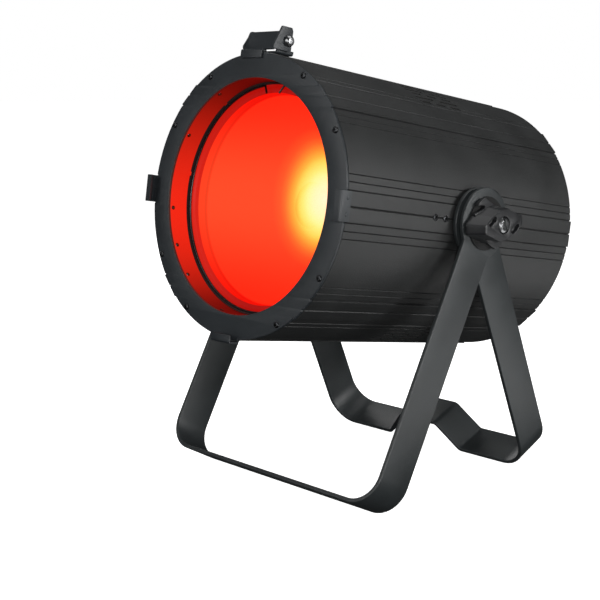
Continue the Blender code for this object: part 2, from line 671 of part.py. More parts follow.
def make_yoke(name, axes, splay, outer, hat):
    """One U of flat strip with round eyes on the tilt axis and a clamp hole in its crossbar."""
    distance = bar_distance(splay)
    half = STRIP_WIDTH / 2
    yoke = plate(name, [strip_outline(outer, distance, hat)], -half, half, axes, "yoke_black")
    turn = Matrix(((0, 0, 1, 0), (0, 1, 0, 0), (-1, 0, 0, 0), (0, 0, 0, 1)))
    for side, low in (("right", outer - STRIP_THICKNESS), ("left", -outer)):
        loops = [leg_outline(distance), circle(STUD_HOLE, 32)]
        mesh = plate_mesh(f"{name}_leg_{side}", loops, low, low + STRIP_THICKNESS)
        mesh.transform(turn)
        combine(yoke, add_object(f"{name}_leg_{side}", mesh, axes), "UNION")
    drill = rod(f"{name}_clamp_drill", CLAMP_HOLE, 0.22, 0.30, axes, sides=32, rotation=(math.pi / 2, 0, 0))
    combine(yoke, drill)
    smooth(yoke, 25)


# ---------------------------------------------------------------- pivots and knobs

def knob_outline(scale):
    """The knob seen end-on: two offset wings, the same when turned half round."""
    wing = [(0.0270, 0.0070), (0.0270, -0.0010), (0.0180, -0.0085), (0.0050, -0.0145), (-0.0050, -0.0150)]
    shape = wing + [(-x, -y) for x, y in wing]
    return [(x * scale, y * scale) for x, y in shape]


def make_knob(side, axes):
    """A moulded clamp knob that narrows outwards, with two pockets and a steel nut."""
    shape = bmesh.new()
    rings = []
    for height, scale in ((KNOB_SPAN[0], 1.19), (KNOB_SPAN[0] + 0.004, 1.15), (KNOB_SPAN[1], 1.0)):
        rings.append([shape.verts.new((-y, x, height)) for x, y in knob_outline(scale)])
    for lower, upper in zip(rings, rings[1:]):
        for index in range(len(lower)):
            following = (index + 1) % len(lower)
            shape.faces.new((lower[index], lower[following], upper[following], upper[index]))
    shape.faces.new(rings[0])
    shape.faces.new(rings[-1])
    bmesh.ops.recalc_face_normals(shape, faces=shape.faces)
    mesh = bpy.data.meshes.new(f"knob_{side}")
    shape.to_mesh(mesh)
    shape.free()
    knob = add_object(f"knob_{side}", mesh, axes, "knob_plastic")
    combine(knob, rod(f"knob_bore_{side}", STUD_HOLE, 0.14, 0.17, axes, sides=24))
    combine(knob, rod(f"nut_seat_{side}", 0.0081, NUT_SPAN[0] - GAP, 0.18, axes, sides=24))
    for wing in (1, -1):
        pocket = plate(f"knob_pocket_{side}_{wing}", [rounded_slot(0.0120, 0.0048, 0, 0)], 0.1600, 0.17, axes,
                       location=(-0.0045 * wing, -0.0170 * wing, 0),
                       rotation=(0, 0, math.radians(-59)))
        combine(knob, pocket)
    nut = [(0, NUT_SPAN[1]), (0.0056, NUT_SPAN[1]), (0.0074, NUT_SPAN[1] - 0.0014), (0.0077, NUT_SPAN[0]),
           (0, NUT_SPAN[0])]
    cap = turned(f"knob_nut_{side}", nut, axes, "bright_steel", steps=16, ring=False)
    combine(cap, box(f"nut_slot_{side}", (-0.010, -0.0009, NUT_SPAN[1] - 0.002), (0.010, 0.0009, 0.18), axes))


def make_pivot(side, axes):
    """The stud in the barrel's side, its friction pads and washers, and the knob."""
    stud = [(0, NUT_SPAN[0] - GAP), (STUD_RADIUS, NUT_SPAN[0] - GAP), (STUD_RADIUS, 0.1246),
            (0.0115, 0.1240), (0.0115, 0.1160), (0, 0.1160)]
    turned(f"pivot_stud_{side}", stud, axes, "bright_steel", steps=16, ring=False)
    washer(f"pivot_pad_{side}", STUD_HOLE, 0.0125, *PAD_SPAN, axes, "fibre", steps=24)
    washer(f"yoke_washer_{side}", STUD_HOLE, 0.0240, *YOKE_WASHER_SPAN, axes, "fibre")
    washer(f"clamp_washer_{side}", STUD_HOLE, 0.0250, *CLAMP_WASHER_SPAN, axes, "fibre")
    make_knob(side, axes)


make_barrel()
make_front_ring()
make_accessory_clips()
make_latch()
make_optics()
make_cooling()
make_electronics()
make_rear_panel()
make_yoke("front_yoke", front_yoke_axes, FRONT_SPLAY, FRONT_YOKE_OUTER, hat=False)
make_yoke("rear_yoke", rear_yoke_axes, REAR_SPLAY, REAR_YOKE_OUTER, hat=True)
for side_name, side_frame in side_axes.items():
    make_pivot(side_name, side_frame)
bpy.context.view_layer.update()
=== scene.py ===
"""The look of a par can light: lit lens, powder-coated barrel, two yokes, clamp knobs and rear panel."""
import json
import math

import bmesh
import bpy
from mathutils import Matrix, Vector


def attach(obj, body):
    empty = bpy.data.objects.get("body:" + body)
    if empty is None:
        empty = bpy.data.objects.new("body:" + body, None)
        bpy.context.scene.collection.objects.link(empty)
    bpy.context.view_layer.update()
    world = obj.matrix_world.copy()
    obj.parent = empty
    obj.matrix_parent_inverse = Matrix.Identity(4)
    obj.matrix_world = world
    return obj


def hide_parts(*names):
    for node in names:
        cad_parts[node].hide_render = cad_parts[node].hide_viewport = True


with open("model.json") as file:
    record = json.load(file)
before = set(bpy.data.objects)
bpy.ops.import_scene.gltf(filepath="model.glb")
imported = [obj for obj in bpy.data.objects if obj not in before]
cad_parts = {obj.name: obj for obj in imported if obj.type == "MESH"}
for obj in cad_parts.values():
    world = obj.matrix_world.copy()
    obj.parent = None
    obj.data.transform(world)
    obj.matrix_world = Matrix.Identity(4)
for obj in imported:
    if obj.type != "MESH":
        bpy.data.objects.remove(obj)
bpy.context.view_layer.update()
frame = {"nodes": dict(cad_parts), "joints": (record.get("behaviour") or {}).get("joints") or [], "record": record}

bl_info = {
    "name": "Par can light",
    "version": (1, 0, 0),
    "blender": (4, 5, 0),
    "location": "3D View > Sidebar > Par can",
    "description": "Builds a stage par can light with its finishes and a plain studio",
    "category": "Object",
}

# ---------------------------------------------------------------- places, from the frame

JOINTS = {joint["name"]: joint for joint in frame["joints"]}
PIVOT = Vector(JOINTS["front_yoke_tilt"]["pos_m"])
FORWARD = Vector(JOINTS["lens_out"]["axis"]).normalized()
TILT = math.atan2(FORWARD.z, -FORWARD.y)
PIVOT_AHEAD = 0.0045
BARREL = Matrix.Translation(PIVOT - FORWARD * PIVOT_AHEAD) @ Matrix.Rotation(math.pi / 2 - TILT, 4, "X")
HERE = Matrix()


def shift(x, y, z):
    """A move."""
    return Matrix.Translation((x, y, z))


def spin(degrees, axis):
    """A turn about one axis."""
    return Matrix.Rotation(math.radians(degrees), 4, axis)


SIDES = {"right": (1, Matrix.Translation(PIVOT) @ spin(90, "Y")),
         "left": (-1, Matrix.Translation(PIVOT) @ spin(-90, "Y"))}
ACROSS = SIDES["right"][1]


def extent(node, axes=BARREL):
    """The low and high corners of a frame part in a piece's own axes."""
    inward = axes.inverted()
    points = [inward @ vertex.co for vertex in frame["nodes"][node].data.vertices]
    low = Vector([min(point[axis] for point in points) for axis in range(3)])
    high = Vector([max(point[axis] for point in points) for axis in range(3)])
    return low, high


def middle_of(node):
    """The middle of a frame part, in the barrel's axes."""
    low, high = extent(node)
    return (low + high) / 2


RING_LOW, RING_HIGH = extent("front_ring")
RING_FACE = RING_HIGH.z
SHELL_LOW, SHELL_HIGH = extent("barrel_shell")
CARRIER_LOW, CARRIER_HIGH = extent("lens_carrier")
RIM_FACE = CARRIER_HIGH.z - 0.0055
COVER_LOW, COVER_HIGH = extent("rear_cover")

BODY_RADIUS = 0.1296
BAND_FLAT = 0.1301
BORE_RADIUS = 0.1265
BANDS = 8
RING_BORE = 0.1074
APERTURE = 0.0982
EYE_RADIUS = 0.033
STRIP_HALF = 0.020
STRIP_SHEET = 0.004
STUD_HOLE = 0.0062
BUILT = {}


# ---------------------------------------------------------------- settings

class ParCanFinish(bpy.types.PropertyGroup):
    """Colours and surface of each finish."""

    barrel: bpy.props.FloatVectorProperty(
        name="Barrel", description="Powder coat of the barrel", subtype="COLOR",
        default=(0.0135, 0.0142, 0.0142))
    ring: bpy.props.FloatVectorProperty(
        name="Ring", description="Powder coat of the front ring and clips", subtype="COLOR",
        default=(0.016, 0.0195, 0.0225))
    yoke: bpy.props.FloatVectorProperty(
        name="Yoke", description="Powder coat of the yokes", subtype="COLOR",
        default=(0.0175, 0.0205, 0.0215))
    knob: bpy.props.FloatVectorProperty(
        name="Knob", description="Moulded plastic of the knobs", subtype="COLOR",
        default=(0.010, 0.0105, 0.0115))
    grain: bpy.props.FloatProperty(
        name="Grain", description="Size of the powder coat's texture", default=0.0009, unit="LENGTH")
    grain_depth: bpy.props.FloatProperty(
        name="Grain depth", description="Strength of the powder coat's bump", default=0.5, min=0, max=1)
    glow: bpy.props.FloatVectorProperty(
        name="Glow", description="Light across the middle of the lens", subtype="COLOR",
        default=(1.0, 0.062, 0.018))
    glow_edge: bpy.props.FloatVectorProperty(
        name="Glow edge", description="Light at the top and bottom of the lens", subtype="COLOR",
        default=(1.0, 0.006, 0.002))
    hot: bpy.props.FloatVectorProperty(
        name="Hot spot", description="Light source seen through the lens", subtype="COLOR",
        default=(1.0, 1.0, 0.69))


class ParCanSize(bpy.types.PropertyGroup):
    """Small sizes that the frame doesn't hold."""

    yoke_edge: bpy.props.FloatProperty(
        name="Yoke edge", description="Rounding of the yoke strips' edges",
        default=0.0009, unit="LENGTH")
    bend: bpy.props.FloatProperty(
        name="Bend", description="Inner radius of small sheet bends", default=0.0008, unit="LENGTH")


class ParCanStudio(bpy.types.PropertyGroup):
    """Camera and lights."""

    eye: bpy.props.FloatVectorProperty(
        name="Camera place", description="Camera measured from the middle of the barrel",
        subtype="TRANSLATION",
        default=(0.8198, -0.89075, 0.1200))
    pitch: bpy.props.FloatProperty(
        name="Pitch", description="Camera's angle above straight down", subtype="ANGLE",
        default=math.radians(80.17))
    heading: bpy.props.FloatProperty(
        name="Heading", description="Camera's turn about the vertical", subtype="ANGLE",
        default=math.radians(46.17))
    focal: bpy.props.FloatProperty(
        name="Focal length", description="Camera lens in millimetres", default=72.02)
    room: bpy.props.FloatProperty(
        name="Room light", description="Even light from all sides", default=0.03, min=0)
    floor: bpy.props.FloatVectorProperty(
        name="Floor", description="Colour of the floor", subtype="COLOR", default=(0.9, 0.9, 0.9))


# ---------------------------------------------------------------- shader maths

class Value:
    """A shader socket that Python's operators turn into Math nodes."""

    def __init__(self, paint, socket):
        self.paint = paint
        self.socket = socket

    def maths(self, operation, *others):
        """One Math node on this value and others."""
        values = dict(enumerate((self, *others)))
        return self.paint.add("ShaderNodeMath", {"operation": operation}, values)

    def __add__(self, other):
        return self.maths("ADD", other)

    __radd__ = __add__

    def __mul__(self, other):
        return self.maths("MULTIPLY", other)

    __rmul__ = __mul__

    def __sub__(self, other):
        return self.maths("SUBTRACT", other)

    def __rsub__(self, other):
        return (self * -1) + other

    def __truediv__(self, other):
        return self.maths("DIVIDE", other)

    def __rtruediv__(self, other):
        return self.maths("POWER", -1) * other

    def __pow__(self, other):
        return self.maths("POWER", other)

    def __abs__(self):
        return self.maths("ABSOLUTE")

    def ramp(self, low, high):
        """Rises smoothly from 0 at low to 1 at high."""
        return self.paint.add("ShaderNodeMapRange", {"interpolation_type": "SMOOTHSTEP"},
                              {"Value": self, "From Min": low, "From Max": high})


class Paint:
    """One material under construction."""

    def __init__(self, name):
        self.material = bpy.data.materials.new(name)
        self.material.use_nodes = True
        self.tree = self.material.node_tree
        self.shader = self.tree.nodes["Principled BSDF"]

    def add(self, kind, settings=None, values=None, output=0):
        """Add a node: its settings first, then its sockets' values or links."""
        node = self.tree.nodes.new(kind)
        for name, setting in (settings or {}).items():
            if name == "stops":
                self.set_stops(node.color_ramp.elements, setting)
            else:
                setattr(node, name, setting)
        for name, value in (values or {}).items():
            self.feed(node.inputs[name], value)
        return Value(self, node.outputs[output])

    def set_stops(self, elements, stops):
        """Place a ramp's stops, as (position, colour)."""
        while len(elements) < len(stops):
            elements.new(0.5)
        for element, (position, colour) in zip(elements, stops):
            element.position = position
            element.color = (*colour, 1.0)

    def feed(self, socket, value):
        """Link a value to a socket, or set a number or colour on it."""
        if isinstance(value, Value):
            self.tree.links.new(value.socket, socket)
        elif hasattr(value, "__len__") and socket.type == "RGBA":
            socket.default_value = (*tuple(value)[:3], 1.0)
        else:
            socket.default_value = value

    def set(self, **values):
        """Feed the surface shader's own sockets, with _ for a space."""
        for name, value in values.items():
            self.feed(self.shader.inputs[name.replace("_", " ")], value)
        return self.material

    def place(self):
        """A point on the piece, in its own axes."""
        return self.add("ShaderNodeTexCoord", output=3)

    def across(self, axis):
        """One coordinate of the point on the piece."""
        return self.add("ShaderNodeSeparateXYZ", values={0: self.place()}, output=axis)

    def noise(self, size, detail=2.0, stretch=(1, 1, 1), rough=0.5):
        """Noise whose grains are about size metres across."""
        place = self.add("ShaderNodeVectorMath", {"operation": "MULTIPLY"}, {0: self.place(), 1: stretch})
        values = {"Vector": place, "Scale": 1 / size, "Detail": detail, "Roughness": rough}
        return self.add("ShaderNodeTexNoise", values=values)

    def blend(self, share, first, second):
        """Mix two colours."""
        return self.add("ShaderNodeMix", {"data_type": "RGBA"}, {0: share, 6: first, 7: second}, output=2)

    def bump(self, height, strength, distance):
        """A Bump node's normal."""
        values = {"Height": height, "Strength": strength, "Distance": distance}
        return self.add("ShaderNodeBump", values=values)


def tint(colour, share):
    """A colour made lighter or darker."""
    return tuple(channel * share for channel in colour)


def powder_coat(name, colour, roughness, grain, depth):
    """Textured powder coat: fine orange peel, faint cloudiness and dust, and small rubbed marks."""
    paint = Paint(name)
    fine = paint.noise(grain, 3.0, rough=0.6)
    broad = paint.noise(0.045, 3.0)
    fleck = paint.noise(grain * 2.2, 1.0).ramp(0.66, 0.8)
    cloudy = paint.blend(broad.ramp(0.3, 0.7), tint(colour, 0.86), tint(colour, 1.14))
    flecked = paint.blend(fleck * 0.35, cloudy, tint(colour, 2.1))
    scuff = paint.noise(0.012, 4.0, stretch=(1, 1, 0.25)).ramp(0.68, 0.76)
    return paint.set(Base_Color=paint.blend(scuff * 0.18, flecked, tint(colour, 2.6)),
                     Roughness=(broad - 0.5) * 0.16 + (fine - 0.5) * 0.2 + roughness,
                     Metallic=0.0, IOR=1.5,
                     Normal=paint.bump(fine, depth, grain * 0.6))


def moulded_plastic(name, colour, roughness):
    """Moulded plastic with a fine spark-eroded texture."""
    paint = Paint(name)
    fine = paint.noise(0.0004, 2.0)
    broad = paint.noise(0.02, 2.0)
    return paint.set(Base_Color=paint.blend(broad.ramp(0.3, 0.7), tint(colour, 0.85), tint(colour, 1.2)),
                     Roughness=(broad - 0.5) * 0.2 + roughness,
                     Normal=paint.bump(fine, 0.15, 0.0002))


def bare_metal(name, colour, roughness):
    """Plated or turned metal with fine lines and uneven polish."""
    paint = Paint(name)
    lines = paint.noise(0.0006, 2.0, stretch=(1, 1, 12))
    broad = paint.noise(0.006, 3.0)
    return paint.set(Base_Color=paint.blend(broad.ramp(0.35, 0.7), tint(colour, 0.8), colour),
                     Metallic=1.0,
                     Roughness=(lines - 0.5) * 0.25 + (broad - 0.5) * 0.25 + roughness,
                     Normal=paint.bump(lines, 0.12, 0.0001))


def radius_of(paint, right=0.0, up=0.0):
    """Distance from the piece's Z axis, or from a line beside it."""
    x = paint.across(0) - right
    y = paint.across(1) - up
    return (x * x + y * y) ** 0.5


def lit_reflector(name, finish):
    """Bowl lit by the source: nearly white where it is hottest, through yellow and orange to red."""
    paint = Paint(name)
    reach = 0.1
    hottest = radius_of(paint, 0.016, 0.006)
    stops = [(0.00, finish.hot), (0.15, (1.0, 1.0, 0.53)), (0.23, (1.0, 1.0, 0.37)),
             (0.29, (1.0, 0.90, 0.205)), (0.36, (1.0, 0.72, 0.10)), (0.41, (1.0, 0.465, 0.043)),
             (0.47, (1.0, 0.245, 0.020)), (0.52, (1.0, 0.117, 0.012)), (0.57, (1.0, 0.050, 0.006)),
             (0.65, (1.0, 0.015, 0.003))]
    glow = paint.add("ShaderNodeValToRGB", {"stops": stops}, {0: hottest / reach})
    return paint.set(Base_Color=(0.03, 0.03, 0.03), Roughness=0.6,
                     Emission_Color=glow, Emission_Strength=3.9)


def frosted_lens(name, finish):
    """Frosted glass full of scattered light, redder towards the top and bottom, half seen through."""
    paint = Paint(name)
    height = abs(paint.across(1))
    haze = paint.blend(height.ramp(0.005, 0.10), finish.glow, finish.glow_edge)
    frost = paint.noise(0.0012, 3.0)
    return paint.set(Base_Color=(0.03, 0.002, 0.001), Roughness=0.45, IOR=1.1,
                     Alpha=(frost - 0.5) * 0.06 + 0.52,
                     Emission_Color=haze, Emission_Strength=1.15,
                     Normal=paint.bump(frost, 0.08, 0.0002))


def lit_wall(name, strength, sides, ends, colour, narrow=1.6):
    """Metal inside the front, bathed in red light.

    The light is strongest at the left and right, a little below the middle. There is none past the bore.
    """
    paint = Paint(name)
    bore = 0.1086
    radius = radius_of(paint)
    share = (abs(paint.across(0)) / radius_of(paint, 0.0, -0.02)) ** narrow
    brushed = paint.noise(0.0009, 2.0, stretch=(1, 1, 6))
    red = paint.blend(share, ends, sides)
    mottled = paint.blend((brushed - 0.3) * 0.5, red, tint(ends, 0.6))
    inside = paint.blend(radius.ramp(bore - 0.0002, bore), mottled, (0, 0, 0))
    return paint.set(Base_Color=colour, IOR=1.2, Roughness=(brushed - 0.5) * 0.3 + 0.5,
                     Emission_Color=inside, Emission_Strength=strength)


def circuit(name):
    """Green board with copper tracks."""
    paint = Paint(name)
    tracks = paint.add("ShaderNodeTexBrick", {"offset": 0.5},
                       {"Vector": paint.place(), "Scale": 120.0, "Mortar Size": 0.012,
                        "Color1": (0.01, 0.10, 0.04), "Color2": (0.012, 0.12, 0.05),
                        "Mortar": (0.05, 0.28, 0.11)})
    return paint.set(Base_Color=tracks, Roughness=0.35)


def galvanised(name, colour):
    """Zinc sheet with its crystal pattern."""
    paint = Paint(name)
    crystals = paint.add("ShaderNodeTexVoronoi", values={"Vector": paint.place(), "Scale": 160.0}, output=1)
    grey = paint.add("ShaderNodeRGBToBW", values={0: crystals})
    return paint.set(Base_Color=paint.blend(grey, tint(colour, 0.75), colour), Metallic=0.9,
                     Roughness=grey * 0.25 + 0.3)


def display(name):
    """Dark window over a small segment display that is off."""
    paint = Paint(name)
    smear = paint.noise(0.02, 4.0)
    return paint.set(Base_Color=(0.006, 0.007, 0.009), Coat_Weight=0.6,
                     Roughness=(smear - 0.4) * 0.2 + 0.08)


def finishes():
    """Every material, by the record's slot or by its own name."""
    if BUILT:
        return BUILT
    look = bpy.context.scene.par_can_finish
    grain, depth = look.grain, look.grain_depth
    BUILT.update({
        "barrel_black": powder_coat("barrel powder coat", look.barrel, 0.50, grain, depth),
        "ring_slate": powder_coat("slate powder coat", look.ring, 0.46, grain * 0.8, depth * 0.6),
        "yoke_black": powder_coat("yoke powder coat", look.yoke, 0.44, grain * 0.8, depth * 0.6),
        "knob_plastic": moulded_plastic("knob plastic", look.knob, 0.42),
        "bright_steel": bare_metal("plated steel", (0.62, 0.63, 0.64), 0.26),
        "nut_steel": bare_metal("turned steel", (0.34, 0.345, 0.35), 0.3),
        "dark_steel": bare_metal("blackened steel", (0.06, 0.062, 0.065), 0.38),
        "fibre": moulded_plastic("soft black", (0.003, 0.003, 0.003), 0.95),
        "sleeve_silver": lit_wall("lit sleeve", 0.95, (1.0, 0.020, 0.006), (0.06, 0.0005, 0.0004),
                                  (0.03, 0.004, 0.003), 2.4),
        "carrier": lit_wall("lit carrier", 0.8, (0.9, 0.018, 0.007), (0.5, 0.003, 0.001),
                            (0.03, 0.004, 0.004)),
        "bowl_back": bare_metal("spun aluminium", (0.5, 0.5, 0.51), 0.35),
        "lens_clear": frosted_lens("frosted lens", look),
        "reflector_silver": lit_reflector("lit reflector", look),
        "led_yellow": lit_reflector("light source", look),
        "heatsink_grey": bare_metal("bare aluminium", (0.42, 0.42, 0.43), 0.4),
        "moulded_black": moulded_plastic("black moulding", (0.012, 0.012, 0.012), 0.45),
        "circuit_green": circuit("circuit board"),
        "galvanised": galvanised("galvanised sheet", (0.5, 0.51, 0.52)),
        "supply_case": galvanised("supply case", (0.42, 0.43, 0.44)),
        "display_glass": display("display window"),
        "button_grey": moulded_plastic("button rubber", (0.11, 0.11, 0.115), 0.6),
        "socket_blue": moulded_plastic("blue moulding", (0.012, 0.06, 0.34), 0.4),
        "socket_white": moulded_plastic("light grey moulding", (0.42, 0.42, 0.40), 0.4),
        "brass": bare_metal("gilt contacts", (0.75, 0.56, 0.25), 0.3),
    })
    return BUILT


# ---------------------------------------------------------------- shapes

def circle(radius, count, x=0.0, y=0.0, start=0.0):
    """The points of a round outline."""
    turns = [start + 2 * math.pi * step / count for step in range(count)]
    return [(x + radius * math.cos(turn), y + radius * math.sin(turn)) for turn in turns]


def arc(x, y, radius, first, last, count):
    """Points along an arc, both ends included, from angles in degrees."""
    angles = [math.radians(first + (last - first) * step / count) for step in range(count + 1)]
    return [(x + radius * math.cos(angle), y + radius * math.sin(angle)) for angle in angles]


def rounded(points, radius, closed=True, steps=3):
    """A polyline with each corner replaced by a small arc."""
    corners = [Vector(point) for point in points]
    result = []
    for index, corner in enumerate(corners):
        if not closed and index in (0, len(corners) - 1):
            result.append(tuple(corner))
            continue
        before = corners[index - 1] - corner
        after = corners[(index + 1) % len(corners)] - corner
        angle = before.angle(after, math.pi)
        if angle > math.radians(176):
            result.append(tuple(corner))
            continue
        reach = min(radius / math.tan(angle / 2), before.length * 0.45, after.length * 0.45)
        start, end = corner + before.normalized() * reach, corner + after.normalized() * reach
        for step in range(steps + 1):
            share = step / steps
            point = start.lerp(corner, share).lerp(corner.lerp(end, share), share)
            result.append(tuple(point))
    return result


def thick(path, sheet):
    """The closed outline of a bent sheet whose middle follows an open path."""
    points = [Vector(point) for point in path]
    left, right = [], []
    for index, point in enumerate(points):
        before = point - points[max(index - 1, 0)]
        after = points[min(index + 1, len(points) - 1)] - point
        way = before.normalized() + after.normalized()
        way.normalize()
        normal = Vector((-way.y, way.x))
        cosine = max(0.3, normal.dot(Vector((-after.y, after.x)).normalized())) if after.length else 1.0
        left.append(tuple(point + normal * sheet / 2 / cosine))
        right.append(tuple(point - normal * sheet / 2 / cosine))
    return left + right[::-1]


def rectangle(left, bottom, right, top):
    """The corners of a rectangle."""
    return [(left, bottom), (right, bottom), (right, top), (left, top)]


def rounded_slot(length, width, count=8):
    """A level slot with round ends, about the middle."""
    reach = (length - width) / 2
    return arc(reach, 0, width / 2, -90, 90, count) + arc(-reach, 0, width / 2, 90, 270, count)


def smooth(mesh, angle=32):
    """Smooth shading that keeps edges sharper than an angle."""
    mesh.shade_smooth()
    mesh.set_sharp_from_angle(angle=math.radians(angle))
    return mesh


def finish_mesh(shape, name, angle=32):
    """Weld, orient and smooth a mesh under construction."""
    bmesh.ops.remove_doubles(shape, verts=shape.verts, dist=1e-6)
    bmesh.ops.recalc_face_normals(shape, faces=shape.faces)
    mesh = bpy.data.meshes.new(name)
    shape.to_mesh(mesh)
    shape.free()
    return smooth(mesh, angle)


def from_curve(name, curve, angle=32):
    """The closed mesh of a curve."""
    holder = bpy.data.objects.new(name, curve)
    bpy.context.scene.collection.objects.link(holder)
    bpy.context.view_layer.update()
    mesh = bpy.data.meshes.new_from_object(holder.evaluated_get(bpy.context.evaluated_depsgraph_get()))
    bpy.data.objects.remove(holder)
    bpy.data.curves.remove(curve)
    shape = bmesh.new()
    shape.from_mesh(mesh)
    bpy.data.meshes.remove(mesh)
    return finish_mesh(shape, name, angle)


def plate(name, loops, low, high, edge, resolution=1):
    """Sheet cut to a flat outline with holes, its edges rounded."""
    curve = bpy.data.curves.new(name, "CURVE")
    curve.dimensions = "2D"
    curve.fill_mode = "BOTH"
    curve.extrude = (high - low) / 2 - edge
    curve.bevel_depth = edge
    curve.bevel_resolution = resolution
    curve.offset = -edge
    for loop in loops:
        spline = curve.splines.new("POLY")
        spline.points.add(len(loop) - 1)
        for point, (x, y) in zip(spline.points, loop):
            point.co = (x, y, 0, 1)
        spline.use_cyclic_u = True
    mesh = from_curve(name, curve)
    mesh.transform(shift(0, 0, (low + high) / 2))
    return mesh


def tube(name, points, radius):
    """Round wire along points."""
    curve = bpy.data.curves.new(name, "CURVE")
    curve.dimensions = "3D"
    curve.bevel_depth = radius
    curve.bevel_resolution = 5
    curve.use_fill_caps = True
    spline = curve.splines.new("POLY")
    spline.points.add(len(points) - 1)
    for point, place in zip(spline.points, points):
        point.co = (*place, 1)
    return from_curve(name, curve, 60)


def turned(name, profile, steps=96):
    """A closed profile of (radius, height) points spun about Z."""
    shape = bmesh.new()
    rings = []
    for radius, height in profile:
        if radius < 1e-7:
            rings.append([shape.verts.new((0, 0, height))] * steps)
            continue
        rings.append([shape.verts.new((x, y, height)) for x, y in circle(radius, steps)])
    for lower, upper in zip(rings, rings[1:] + rings[:1]):
        for step in range(steps):
            following = (step + 1) % steps
            corners = [lower[step], lower[following], upper[following], upper[step]]
            face = list(dict.fromkeys(corners))
            if len(face) > 2:
                shape.faces.new(face)
    return finish_mesh(shape, name)


def turned_solid(name, profile, edge, steps):
    """A turned piece whose profile starts and ends on its axis, with softened edges."""
    return turned(name, rounded(profile, edge, False), steps)


def drill(radius, low, high, steps=40):
    """A round cutting tool along Z."""
    return turned("drill", [(0, low), (radius, low), (radius, high), (0, high)], steps)


def rivet_head(top, radius, height, edge):
    """A low rivet head on its seat."""
    return turned_solid("rivet", [(0, height), (top, height - 0.0001), (radius, 0), (0, 0)], edge, 20)


def lofted(name, rings):
    """A solid through rings of points, with flat ends."""
    shape = bmesh.new()
    loops = [[shape.verts.new(point) for point in ring] for ring in rings]
    count = len(loops[0])
    for lower, upper in zip(loops, loops[1:]):
        for index in range(count):
            following = (index + 1) % count
            shape.faces.new((lower[index], lower[following], upper[following], upper[index]))
    shape.faces.new(loops[0][::-1])
    shape.faces.new(loops[-1])
    return finish_mesh(shape, name)


def joined(name, parts):
    """Several meshes, each with its own place, as one."""
    shape = bmesh.new()
    for mesh, matrix in parts:
        piece = mesh.copy()
        piece.transform(matrix)
        shape.from_mesh(piece)
        bpy.data.meshes.remove(piece)
    mesh = bpy.data.meshes.new(name)
    shape.to_mesh(mesh)
    shape.free()
    return smooth(mesh)


def block(name, low, high, edge):
    """A box with rounded edges."""
    shape = bmesh.new()
    middle = [(a + b) / 2 for a, b in zip(low, high)]
    size = [b - a for a, b in zip(low, high)]
    bmesh.ops.create_cube(shape, size=1, matrix=shift(*middle) @ Matrix.Diagonal((*size, 1)))
    bmesh.ops.bevel(shape, geom=shape.edges, offset=edge, segments=2, profile=0.5, affect="EDGES")
    return finish_mesh(shape, name)


def show(name, mesh, body, slot, axes=BARREL, nodes=(), material=None):
    """Put a piece in the scene: on its body, in its finish, in place of frame parts."""
    piece = bpy.data.objects.new(name, mesh)
    bpy.context.scene.collection.objects.link(piece)
    piece.matrix_world = axes
    mesh.materials.clear()
    mesh.materials.append(finishes()[material or slot])
    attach(piece, body)
    if nodes:
        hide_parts(*nodes)
    return piece


def cut(piece, mesh, axes=BARREL):
    """Take a shape out of a piece, for good."""
    tool = bpy.data.objects.new("cutting tool", mesh)
    bpy.context.scene.collection.objects.link(tool)
    tool.matrix_world = axes
    boolean = piece.modifiers.new("cut", "BOOLEAN")
    boolean.object = tool
    boolean.operation = "DIFFERENCE"
    boolean.solver = "EXACT"
    settle(piece)
    bpy.data.objects.remove(tool)
    return piece


def settle(piece, angle=32):
    """Apply a piece's modifiers and set its shading."""
    bpy.context.view_layer.update()
    evaluated = piece.evaluated_get(bpy.context.evaluated_depsgraph_get())
    mesh = bpy.data.meshes.new_from_object(evaluated)
    piece.modifiers.clear()
    piece.data = smooth(mesh, angle)
    return piece


def soften(piece, width, segments=2, angle=35):
    """Round a piece's sharp edges."""
    bevel = piece.modifiers.new("edges", "BEVEL")
    bevel.width = width
    bevel.segments = segments
    bevel.limit_method = "ANGLE"
    bevel.angle_limit = math.radians(angle)
    bevel.use_clamp_overlap = False
    bevel.harden_normals = False
    return settle(piece)


def body_of(node):
    """The body that a frame part moves with."""
    bodies = frame["record"]["behaviour"]["bodies"]
    return next(name for name, members in bodies.items() if node in members)


def refinish(slots):
    """Give frame parts that keep their own shape a full material."""
    for row in frame["record"]["subparts"]:
        if row["material_slot"] in slots:
            part = frame["nodes"][row["node"]]
            part.data.materials.clear()
            part.data.materials.append(finishes()[row["material_slot"]])


# ---------------------------------------------------------------- barrel and ring

def band_section(fine_lines):
    """Half of a raised band and the skin beside it: (degrees from the band's middle, radius)."""
    foot = BODY_RADIUS - 0.0009
    edge = 5.75
    section = [(0.14, BAND_FLAT - 0.0012), (0.30, BAND_FLAT - 0.0003), (0.42, BAND_FLAT)]
    section += [(angle, BAND_FLAT / math.cos(math.radians(angle))) for angle in (2.2, 4.0, edge - 0.2)]
    rim = BAND_FLAT / math.cos(math.radians(edge))
    section += [(edge - 0.05, rim - 0.0001), (edge, rim - 0.0003), (edge + 0.06, foot),
                (edge + 0.4, foot), (edge + 0.55, BODY_RADIUS - 0.0002), (edge + 0.75, BODY_RADIUS)]
    for centre in fine_lines:
        section += [(centre - 0.26, BODY_RADIUS), (centre - 0.09, BODY_RADIUS - 0.0007),
                    (centre + 0.09, BODY_RADIUS - 0.0007), (centre + 0.26, BODY_RADIUS)]
    return section


